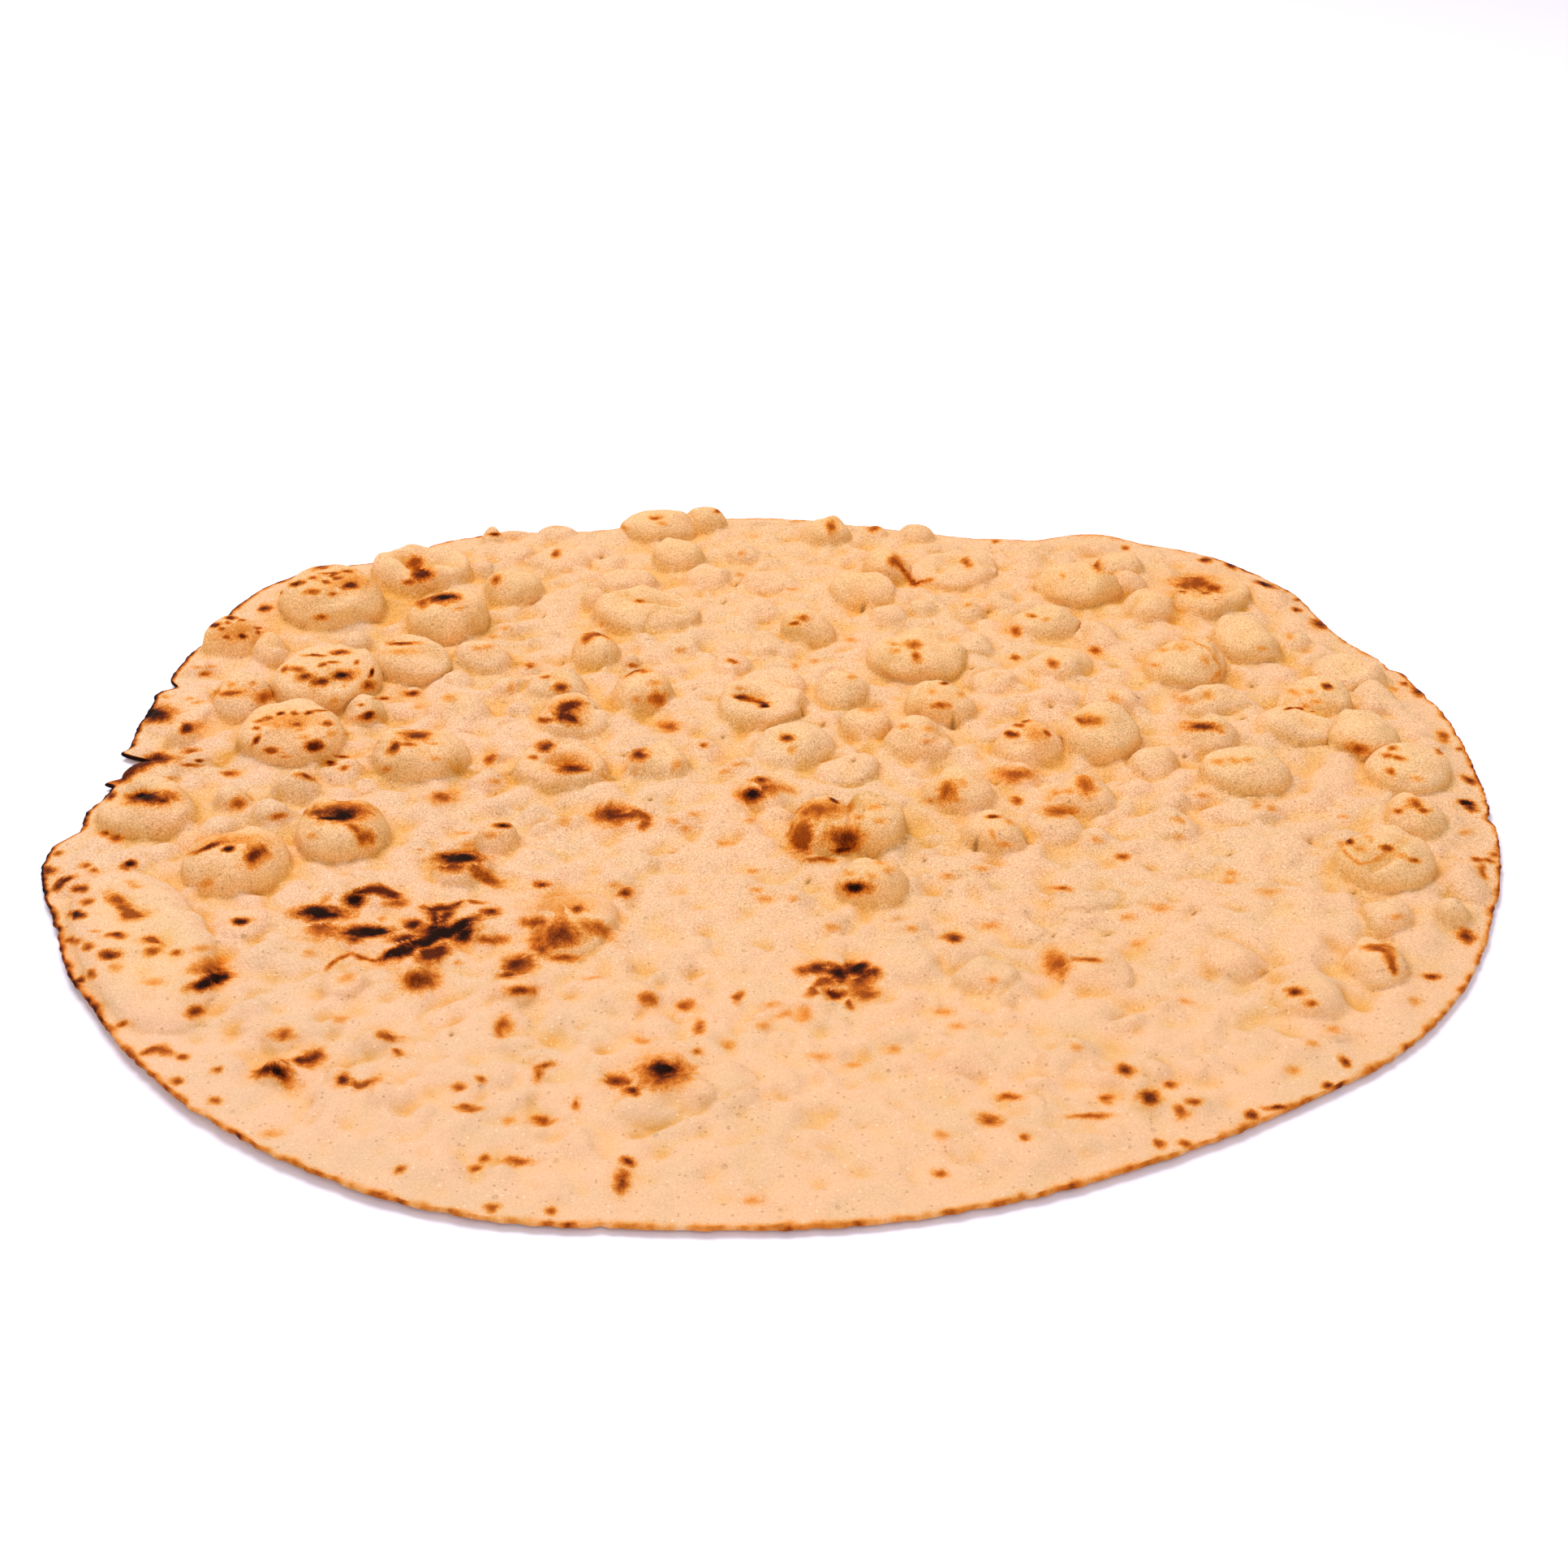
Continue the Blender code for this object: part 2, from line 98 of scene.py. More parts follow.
def rim_radius(bearing):
    """Distance from the middle to the rim: a closed smooth curve through RIM_RADII, a cubic between each
    two whose slope at either is half the step from its neighbour before to its neighbour after, with
    each nick and lobe added as a bell of its own width."""
    place = (bearing % 360.0) / 10.0
    index = np.floor(place).astype(int)
    t = place - index
    before, here, there, beyond = (RIM_RADII[(index + k) % len(RIM_RADII)] for k in (-1, 0, 1, 2))
    radius = here + 0.5 * t * (there - before + t * (
        2.0 * before - 5.0 * here + 4.0 * there - beyond + t * (3.0 * (here - there) + beyond - before)))
    for centre, half_width, out in RIM_NICKS:
        radius += out * np.exp(-(turned(bearing, centre) / half_width) ** 2)
    return radius


def rim_lift(bearing):
    """Height of the rim's lower edge above the floor: a constant, plus a bell for each curl."""
    lift = np.full_like(bearing, RIM_LIFT)
    for centre, half_width, height in RIM_CURLS:
        lift += height * np.exp(-(turned(bearing, centre) / half_width) ** 2)
    return lift


# Broad swells of the sheet itself: x, y, radius, height.
SWELLS = (
    (-2.8, -17.6, 2.6, 0.22), (-9.6, -18.0, 2.8, 0.14), (6.0, -17.0, 3.2, 0.12), (16.6, -5.6, 2.2, 0.22),
    (12.8, -9.2, 2.0, 0.20), (-14.8, -8.0, 1.8, 0.15), (18.8, 14.4, 1.8, 0.22), (10.0, 6.2, 1.8, 0.20),
)
# The relief that covers the whole sheet: wavelength, height.
SHEET_RELIEF = ((7.0, 0.050), (3.2, 0.092), (1.7, 0.097), (0.95, 0.052))
FOLD_SPACING, FOLD_HEIGHT = 3.4, 0.09    # low rounded ridges that wander over the sheet
FOLD_NARROWNESS = 2.2            # the higher, the narrower they are


def sheet_height(x, y):
    """The upper face without blisters: the thickness, plus swells and ripples, plus the rim's lift
    fading inwards, thinner at the rim."""
    bearing = np.degrees(np.arctan2(y - RIM_MIDDLE[1], x - RIM_MIDDLE[0])) % 360.0
    inside = rim_radius(bearing) - np.hypot(x - RIM_MIDDLE[0], y - RIM_MIDDLE[1])
    loose = smooth_step(0.0, 1.6, inside)
    height = RIM_THICKNESS + (SHEET_THICKNESS - RIM_THICKNESS) * loose
    for sx, sy, radius, swell in SWELLS:
        height += swell * np.exp(-((x - sx) ** 2 + (y - sy) ** 2) / radius ** 2)
    for seed, (wavelength, relief) in enumerate(SHEET_RELIEF):
        height += relief * loose * ripple(x, y, wavelength, 20 + seed)
    ridge = np.clip(1.0 - FOLD_NARROWNESS * np.abs(ripple(x, y, FOLD_SPACING, 31)), 0.0, 1.0)
    height += FOLD_HEIGHT * loose * ridge ** 1.5
    return height + rim_lift(bearing) * np.clip(1.0 - inside / RIM_RISE, 0.0, 1.0) ** 2


# --- The blisters ---------------------------------------------------------------------------------
# Steam lifts the upper skin of the dough in the oven into thin-walled blisters: balloon-like domes,
# low pillows, and domes whose tops have sunk. They are the sheet's own skin, blown up, so they are
# made by lifting and spreading the same grid.

# x, y, half-width, half-depth, height above the sheet.
GREAT_DOMES = (
    (-17.1, 13.8, 2.00, 2.15, 1.55), (-12.5, 12.2, 1.50, 1.60, 1.45), (-16.4, 6.9, 2.00, 2.00, 1.50),
    (-17.0, 2.9, 1.95, 1.95, 1.40), (-13.5, 8.6, 1.45, 1.45, 1.15), (-12.3, 1.4, 1.55, 1.50, 1.20),
    (-14.3, -3.8, 1.65, 1.65, 1.30), (-17.4, -6.0, 1.65, 1.65, 1.35), (-4.9, 21.4, 1.60, 1.35, 0.85),
    (11.6, 15.3, 1.80, 1.40, 1.10), (5.1, 9.1, 2.00, 1.50, 1.05), (5.8, 5.3, 1.30, 1.30, 1.10),
    (11.2, 2.9, 1.35, 1.55, 1.25), (17.4, 10.3, 1.25, 1.50, 1.15), (14.9, 8.4, 1.45, 1.55, 1.15),
    (20.4, 2.7, 1.25, 1.40, 1.20), (15.9, 0.3, 1.55, 1.30, 1.00), (21.5, 0.5, 1.50, 1.50, 1.00),
    (19.1, 5.2, 1.35, 1.50, 1.25), (18.3, 3.8, 1.50, 1.35, 0.85), (19.55, -5.85, 1.60, 1.60, 1.30),
    (3.1, -3.3, 1.15, 1.55, 1.30), (1.7, -3.4, 1.20, 1.65, 1.10),
)
DOMES = (
    (-20.4, 10.6, 1.15, 1.20, 1.10), (-18.9, 10.0, 0.75, 0.95, 0.75), (-10.3, 15.2, 1.25, 1.30, 1.05),
    (-19.2, 6.0, 1.10, 1.40, 1.00), (-6.8, 9.7, 0.95, 0.95, 0.95), (-4.9, 6.3, 1.15, 1.15, 1.00),
    (-4.1, 1.0, 1.10, 1.10, 0.90), (-3.1, 21.8, 0.95, 0.95, 0.85), (-4.0, 18.3, 1.10, 1.15, 0.95),
    (1.9, 20.5, 1.05, 1.00, 0.85), (3.3, 15.1, 1.35, 1.25, 0.85), (4.3, 17.3, 1.00, 1.00, 0.85),
    (13.4, 15.8, 1.00, 0.90, 0.55), (14.2, 13.6, 1.15, 1.10, 0.85), (13.4, 17.4, 1.05, 1.00, 0.65),
    (1.1, 11.7, 1.10, 1.10, 0.90), (2.3, 6.6, 1.00, 1.00, 0.85), (3.1, 4.0, 0.90, 0.90, 0.85),
    (10.1, 12.1, 1.40, 1.10, 0.85), (10.4, 8.6, 1.30, 1.25, 0.75), (4.9, 2.7, 1.20, 1.20, 0.90),
    (8.7, 2.3, 1.20, 1.20, 1.10), (20.8, 8.0, 1.40, 1.35, 0.75), (12.9, 1.1, 0.95, 0.95, 0.80),
    (15.1, 3.1, 1.00, 1.00, 0.75), (21.1, -2.8, 1.05, 1.10, 0.95),
    (3.0, -7.1, 1.10, 1.10, 1.05), (6.1, -1.1, 1.20, 1.20, 1.00), (7.1, -3.8, 1.10, 1.10, 0.90),
    (10.3, -1.3, 1.05, 1.05, 0.80), (-0.4, -0.9, 1.00, 1.00, 0.65), (-8.0, 7.0, 1.10, 1.10, 0.75),
    (-11.4, 5.0, 1.20, 1.15, 0.75), (-7.3, 4.5, 1.35, 1.30, 0.75), (-10.9, 9.3, 1.10, 1.10, 0.80),
    (0.5, 2.3, 1.50, 1.30, 0.75), (-10.2, -6.0, 1.00, 1.00, 0.70), (18.9, -8.9, 0.95, 0.95, 0.65),
    (18.2, -11.5, 1.00, 1.20, 0.80),
)
SMALL_DOMES = (
    (-18.3, -1.4, 0.65, 0.70, 0.70), (-16.3, -0.5, 0.80, 0.80, 0.65), (-20.8, 3.1, 0.65, 0.65, 0.75),
    (-15.0, 0.6, 0.75, 0.80, 0.55), (-14.7, 5.0, 0.75, 0.75, 0.75), (-15.9, 10.7, 0.65, 0.65, 0.55),
    (-9.2, -4.1, 0.75, 0.75, 0.75), (-7.1, 14.2, 0.60, 0.60, 0.60), (-2.8, 16.5, 0.90, 0.90, 0.55),
    (7.3, 13.4, 0.65, 0.65, 0.60), (5.5, 13.7, 0.60, 0.60, 0.50), (4.2, 13.1, 0.85, 0.80, 0.45),
    (5.6, 20.7, 0.75, 0.75, 0.60), (10.2, 18.2, 1.00, 0.95, 0.50), (21.5, 6.4, 0.75, 0.75, 0.50),
    (19.2, 10.8, 0.75, 0.75, 0.50), (21.1, -8.5, 0.55, 0.60, 0.59), (-21.3, 8.6, 0.50, 0.60, 0.35),
    (-9.0, 21.1, 0.80, 0.80, 0.45), (-10.9, 21.3, 0.90, 0.60, 0.40), (8.6, 14.5, 0.80, 0.70, 0.35),
    (3.9, 21.0, 0.55, 0.55, 0.40), (12.4, 19.1, 0.70, 0.65, 0.40), (-1.5, 18.7, 0.70, 0.70, 0.45),
    (-8.9, 13.9, 0.60, 0.50, 0.35), (-9.8, 7.2, 0.70, 0.70, 0.50), (-9.9, 0.0, 0.75, 0.75, 0.45),
    (-11.7, 7.7, 0.65, 0.70, 0.35), (15.9, -13.3, 1.05, 1.15, 0.62), (13.9, -11.3, 1.00, 1.05, 0.52),
    (9.7, -12.0, 1.10, 1.10, 0.57), (-16.7, -9.3, 0.95, 0.95, 0.52), (-20.9, -5.4, 0.60, 0.60, 0.32),
    (-13.0, -12.6, 0.75, 0.80, 0.46),
)
BUMPS = (
    (-11.7, 17.2, 0.50, 0.60, 0.34), (-6.6, 18.2, 0.60, 0.50, 0.27), (-0.5, 21.4, 0.70, 0.50, 0.27),
    (-11.6, 20.3, 0.45, 0.50, 0.54), (-10.3, 12.2, 0.80, 0.50, 0.27), (-9.2, 8.8, 0.50, 0.50, 0.27),
    (-4.9, 10.8, 0.60, 0.60, 0.34), (-3.7, 10.4, 0.35, 0.35, 0.20), (-5.5, 9.2, 0.40, 0.40, 0.41),
    (-9.8, 1.9, 0.40, 0.50, 0.34), (-2.8, 2.5, 0.55, 0.55, 0.34), (-1.5, 0.9, 0.50, 0.60, 0.34),
    (2.7, 9.8, 0.70, 0.60, 0.34), (21.2, 5.3, 0.60, 0.50, 0.41), (9.9, 6.1, 1.50, 0.70, 0.34),
    (18.9, 14.7, 0.75, 1.30, 0.34), (-10.8, -12.3, 0.50, 0.70, 0.53), (-7.8, -13.1, 0.85, 0.75, 0.52),
    (-4.5, -13.4, 1.15, 0.80, 0.49), (-14.5, -15.4, 0.55, 0.60, 0.44), (-14.3, -17.2, 0.60, 0.60, 0.53),
    (-12.5, -17.4, 0.40, 0.50, 0.35), (-11.7, -15.8, 0.60, 0.60, 0.44), (-16.8, -2.4, 0.75, 0.60, 0.47),
    (-18.5, -3.2, 0.70, 0.80, 0.47), (-20.0, 1.3, 0.70, 0.60, 0.41), (-15.5, -7.6, 0.75, 0.70, 0.27),
    (-20.1, -4.7, 0.75, 0.70, 0.41), (-21.9, -4.5, 0.85, 0.60, 0.27), (10.4, -3.8, 0.60, 0.70, 0.34),
    (13.2, -1.5, 0.70, 0.60, 0.41), (-13.2, 6.8, 0.40, 0.40, 0.27), (-13.4, 5.4, 0.85, 0.70, 0.41),
    (-4.7, -7.4, 0.50, 0.50, 0.41), (6.6, -5.8, 0.50, 0.55, 0.27), (-9.0, -10.0, 0.40, 0.50, 0.35),
    (-9.3, 5.3, 0.60, 0.40, 0.27), (-7.0, -2.7, 0.65, 0.60, 0.27), (-3.2, -2.7, 0.65, 0.60, 0.27),
    (-1.1, -3.1, 0.70, 0.90, 0.27), (5.6, -10.5, 0.90, 0.80, 0.35), (10.4, -14.7, 0.65, 0.50, 0.35),
    (5.3, -16.8, 0.90, 0.80, 0.42), (12.1, -0.5, 0.70, 0.60, 0.34), (18.5, -0.6, 0.65, 0.60, 0.27),
    (12.0, -7.9, 0.40, 0.40, 0.27), (0.3, -2.2, 0.60, 0.60, 0.27), (22.7, 2.5, 0.55, 0.60, 0.34),
    (-13.0, -7.3, 0.75, 0.60, 0.41), (-22.3, -6.7, 0.75, 0.80, 0.41), (11.8, -4.2, 0.70, 0.60, 0.27),
    (16.0, -9.2, 2.60, 2.40, 0.42), (7.0, -18.8, 0.60, 0.55, 0.34), (1.8, -9.2, 0.50, 0.50, 0.31),
    (4.3, -9.2, 0.50, 0.50, 0.29), (-9.6, -14.2, 0.90, 0.80, 0.29), (3.3, -15.3, 0.70, 0.60, 0.26),
    (-11.0, -18.4, 0.80, 0.70, 0.29), (10.9, -17.0, 0.50, 0.50, 0.29), (8.7, -16.0, 0.80, 0.60, 0.26),
)
PILLOWS = (
    (-21.3, 5.0, 1.20, 1.60, 0.42), (-21.4, 0.6, 1.00, 1.10, 0.50), (-5.9, 15.9, 1.15, 0.80, 0.50),
    (-0.2, 7.3, 1.30, 0.90, 0.50), (-0.5, 10.5, 0.80, 0.80, 0.45), (-0.5, 16.2, 1.05, 0.90, 0.40),
    (-1.0, 13.7, 1.00, 0.90, 0.35), (-1.7, 8.9, 0.75, 0.75, 0.35), (-8.7, 18.2, 1.20, 1.10, 0.45),
    (-10.7, 18.9, 0.90, 0.90, 0.35), (-6.3, -9.1, 1.35, 1.80, 0.62),
    (22.0, -6.6, 0.75, 1.10, 0.35), (9.2, -3.0, 0.95, 1.00, 0.45), (15.5, -2.1, 1.40, 0.80, 0.35),
    (13.1, -3.1, 0.80, 0.85, 0.40), (15.6, 5.8, 1.30, 1.00, 0.70), (12.0, 6.0, 1.15, 0.95, 0.50),
    (7.8, 7.3, 0.90, 0.90, 0.50), (7.3, 10.3, 0.70, 1.00, 0.45), (11.9, 11.4, 0.75, 1.20, 0.40),
    (2.4, 0.7, 1.20, 0.90, 0.50), (8.3, 0.4, 0.75, 0.80, 0.35), (9.7, -7.6, 1.20, 0.80, 0.32),
    (6.3, -12.2, 1.00, 0.85, 0.47), (-3.6, -19.0, 0.95, 0.70, 0.31), (-2.6, -18.3, 1.05, 0.75, 0.36),
    (-1.5, -17.7, 0.95, 0.70, 0.31), (-5.2, -2.3, 0.95, 0.90, 0.35), (-10.9, 2.8, 0.75, 0.80, 0.35),
)
# The long pocket that lies along the rim, and its turn in degrees.
POCKET = (-19.5, -10.5, 2.15, 4.90, 0.72)
POCKET_TURN = 25.0
# Domes whose tops have sunk: the same five, then the hollow's place, half-width, half-depth and depth
# as fractions of the dome.
SUNKEN = (
    (-14.0, 16.9, 1.90, 1.90, 1.10, 0.04, 0.10, 0.60, 0.56, 1.10),
    (-0.6, 5.5, 1.65, 1.65, 0.85, -0.06, 0.14, 0.48, 0.38, 0.95),
    (-7.4, 0.7, 1.55, 1.55, 0.85, 0.05, 0.12, 0.54, 0.46, 1.10),
    (-21.0, -2.2, 1.65, 1.65, 1.05, -0.20, 0.20, 0.48, 0.38, 0.80),
    (16.7, 14.5, 1.55, 1.55, 0.95, 0.02, 0.10, 0.60, 0.56, 1.00),
    (6.9, 17.2, 1.70, 1.65, 0.60, 0.10, 0.10, 0.60, 0.60, 0.60),
    (-5.0, 13.0, 2.00, 1.60, 1.00, 0.34, 0.10, 0.50, 0.32, 0.85),
)
# Each kind's slope at its foot in degrees, and, where it isn't 1, how full it is: below 1 the top is
# flatter and the flanks are steeper, above 1 the foot runs out more gently.
GREAT_FOOT, DOME_FOOT, SMALL_FOOT, BUMP_FOOT, PILLOW_FOOT = 94.0, 81.0, 71.0, 62.0, 70.0
BUMP_SOFTNESS = 1.3
PILLOW_FULLNESS = 0.65
SUNKEN_FULLNESS = 0.55
UNEVEN = 0.05                    # how far a blister's outline strays from an ellipse, as a fraction
SLUMP = 0.06                     # how far its top leans off its middle, as a fraction
FADE = 0.30                      # how far outside its foot the grid settles, as a fraction
SKIRT = 0.20                     # the share of its height that rises gently round its foot
SKIRT_REACH = 2.0                # and how far out that starts, as a multiple of its width
SKIRT_WIDTH = 1.2                # and how wide the bell is, as a multiple of its width
SEAM = 0.07                      # how round the crease between two blisters is

# Every blister: the five numbers above, then foot, fullness, turn and hollow.
blisters = [(*POCKET, PILLOW_FOOT, PILLOW_FULLNESS, POCKET_TURN, None)]
for rows, foot, fullness in (
        (PILLOWS, PILLOW_FOOT, PILLOW_FULLNESS), (BUMPS, BUMP_FOOT, BUMP_SOFTNESS),
        (SMALL_DOMES, SMALL_FOOT, 1.0), (DOMES, DOME_FOOT, 1.0), (GREAT_DOMES, GREAT_FOOT, 1.0)):
    blisters += [(*row, foot, fullness, 0.0, None) for row in rows]
blisters += [(*row[:5], DOME_FOOT, SUNKEN_FULLNESS, 0.0, row[5:]) for row in SUNKEN]

# Mounds and pimples too low to place one by one, spread evenly with a seeded draw: how many, the
# narrowest and widest half-width, the lowest and highest.
SCATTER_REACH = 22.8             # how far from the plan's middle they lie
SCATTERED = ((150, 0.70, 1.40, 0.08, 0.26), (900, 0.22, 0.60, 0.06, 0.22))
scatter = np.random.default_rng(7)
for count, narrow, broad, low, high in SCATTERED:
    for _ in range(count):
        far, way = SCATTER_REACH * math.sqrt(scatter.uniform()), scatter.uniform(0.0, 2.0 * math.pi)
        width = scatter.uniform(narrow, broad)
        blisters.append((far * math.cos(way), far * math.sin(way), width,
                         width * scatter.uniform(0.7, 1.2), scatter.uniform(low, high),
                         BUMP_FOOT, BUMP_SOFTNESS, scatter.uniform(0.0, 180.0), None))


def blow_up(x, y):
    """Height of the blisters over each point of the plan, and how far each point is carried sideways.

    t is a point's distance from a blister's middle, 1 at its foot. With F the slope at the foot, the
    point goes to distance sin(tF) and height (cos(tF) - cos F) / (1 - cos F), an arc that bulges
    over its foot where F is above 90 degrees. A low bell round it is its skirt. Where two blisters
    meet, the higher one counts, and the crease between them is rounded."""
    height, slide_x, slide_y = np.zeros_like(x), np.zeros_like(x), np.zeros_like(x)
    for bx, by, wide, deep, tall, foot, fullness, turn, hollow in blisters:
        reach = SKIRT_REACH * max(wide, deep)
        near = np.nonzero((np.abs(x - bx) < reach) & (np.abs(y - by) < reach))[0]
        slope, widest = math.radians(foot), math.sin(math.radians(min(foot, 90.0)))
        cos_turn, sin_turn = math.cos(math.radians(turn)), math.sin(math.radians(turn))
        u = ((x[near] - bx) * cos_turn + (y[near] - by) * sin_turn) / wide
        v = ((y[near] - by) * cos_turn - (x[near] - bx) * sin_turn) / deep
        phase = 1.7 * bx + 2.3 * by
        bearing = np.arctan2(v, u)
        stray = 1.0 + UNEVEN * np.sin(2 * bearing + phase) + 0.5 * UNEVEN * np.sin(3 * bearing - phase)
        t = np.maximum(np.hypot(u, v) / stray, 1e-6)
        carried = np.where(t < 1.0, np.sin(t * slope) / widest,
                           t + (math.sin(slope) / widest - 1.0) * smooth_step(1.0 + FADE, 1.0, t))
        lift = np.where(t < 1.0, (np.cos(t * slope) - math.cos(slope)) / (1.0 - math.cos(slope)), 0.0)
        lift = np.maximum(lift, 0.0) ** fullness
        if hollow:
            hx, hy, hollow_wide, hollow_deep, depth = hollow
            away = ((u * carried / t - hx) / hollow_wide) ** 2 + ((v * carried / t - hy) / hollow_deep) ** 2
            lift = lift * (1.0 - depth * np.exp(-away))
        skirt = np.exp(-(t / SKIRT_WIDTH) ** 2) * smooth_step(SKIRT_REACH, 1.0, t)
        grown = tall * ((1.0 - SKIRT) * lift + SKIRT * skirt)
        crease = np.minimum(SEAM, 1.5 * np.minimum(grown, height[near])) + 1e-9
        overlap = np.maximum(crease - np.abs(grown - height[near]), 0.0) / crease
        height[near] = np.maximum(grown, height[near]) + 0.25 * crease * overlap ** 2
        out_u = (u * (carried / t - 1.0) + SLUMP * lift * math.cos(phase)) * wide
        out_v = (v * (carried / t - 1.0) + SLUMP * lift * math.sin(phase)) * deep
        slide_x[near] += out_u * cos_turn - out_v * sin_turn
        slide_y[near] += out_u * sin_turn + out_v * cos_turn
    return height, slide_x, slide_y


# --- Folds, creases and docking holes -------------------------------------------------------------
# Where a blister's skin slackens it folds, and the baker pricks the sheet all over before baking, so
# that it doesn't part in two. Both are grooves and pits pressed into the skin.

# Each crease runs through its points: width, depth, then x, y of each point.
CREASES = (
    (0.16, 0.22, 2.0, -1.6, 2.45, -2.9, 2.9, -3.7),
    (0.16, 0.24, 18.55, -5.5, 18.65, -6.4, 18.9, -6.9, 19.4, -6.7, 19.9, -6.1, 20.1, -5.5),
    (0.14, 0.22, 18.1, 4.5, 19.2, 4.1, 19.8, 4.2),
    (0.13, 0.16, 13.9, 9.2, 15.0, 9.7, 16.0, 9.0, 16.1, 8.0),
    (0.10, 0.08, 14.2, 8.9, 15.0, 9.2, 15.7, 8.7),
    (0.12, 0.10, 11.3, 11.9, 11.5, 10.7),
    (0.12, 0.12, -6.2, 13.6, -4.6, 12.2, -3.4, 12.3),
    (0.12, 0.08, 14.3, -1.6, 16.3, -1.4),
    (0.12, 0.08, 14.5, 5.4, 15.6, 5.7, 16.7, 5.4),
    (0.14, 0.10, -4.0, -20.1, -2.2, -19.3, -0.6, -17.9),
    (0.12, 0.12, -18.6, 10.9, -18.3, 10.2, -18.7, 9.6),
    (0.12, 0.10, 4.0, -3.4, 3.6, -4.4),
)
DOCKING_HOLES = (
    (-7.95, 9.7), (-9.05, 13.6), (-3.05, 7.6), (-6.55, 6.1), (-2.05, 3.9), (-5.35, 2.4), (-4.3, -0.65),
    (-3.4, -4.3), (3.7, -1.05), (4.75, -4.8), (1.05, -6.1), (8.2, -3.4), (7.4, 0.35), (8.6, -9.35),
    (10.3, -9.35), (6.45, -3.7), (9.75, 6.2), (10.6, 1.0), (9.45, 5.2), (2.75, 2.1), (1.65, 4.8),
    (6.1, 4.5), (0.95, 5.4), (7.2, 9.1), (13.05, 6.8), (17.2, 7.8), (14.1, 2.3), (16.5, 5.2),
    (12.85, 7.4), (13.15, -8.0), (17.5, -3.65), (14.85, -4.4), (12.05, -5.4), (18.45, -6.85),
    (-1.7, 16.5), (-7.05, 19.2), (3.15, 14.1), (8.05, 14.0), (-2.0, 14.85), (-9.6, -14.8), (21.65, 5.4),
)
HOLE_RADIUS = 0.17
HOLE_DEPTH = 0.16


def off_line(x, y, x0, y0, x1, y1):
    """Distance in plan from each point to the straight line between two points."""
    run, rise = x1 - x0, y1 - y0
    along = np.clip(((x - x0) * run + (y - y0) * rise) / (run ** 2 + rise ** 2), 0.0, 1.0)
    return np.hypot(x - x0 - along * run, y - y0 - along * rise)


def pressed_in(x, y):
    """Depth of the creases: a bell across each line."""
    depth = np.zeros_like(x)
    for width, deep, *points in CREASES:
        away = np.full_like(x, np.inf)
        for k in range(0, len(points) - 2, 2):
            away = np.minimum(away, off_line(x, y, *points[k:k + 4]))
        depth = np.maximum(depth, deep * np.exp(-(away / width) ** 2))
    return depth


# --- The scorched spots ---------------------------------------------------------------------------
# The oven's roof toasts whatever stands highest, from straw yellow through brown to black. Each spot
# was placed as it shows to someone who stands before the bread, on a level plane just above the
# floor, so it is first carried along that line of sight to the crust it lies on.

EYE = (0.2, -82.2, 46.0)         # the onlooker's eye, in plan centimetres
PLANE_HEIGHT = 0.3               # the plane on which the spots were placed
# How brown each kind of spot is at its middle, and its size where none is given.
STRAW, BROWN, DARK, BLACK = 0.36, 0.63, 0.80, 0.98
USUAL_SIZE = {STRAW: 0.38, BROWN: 0.32, DARK: 0.36, BLACK: 0.42}

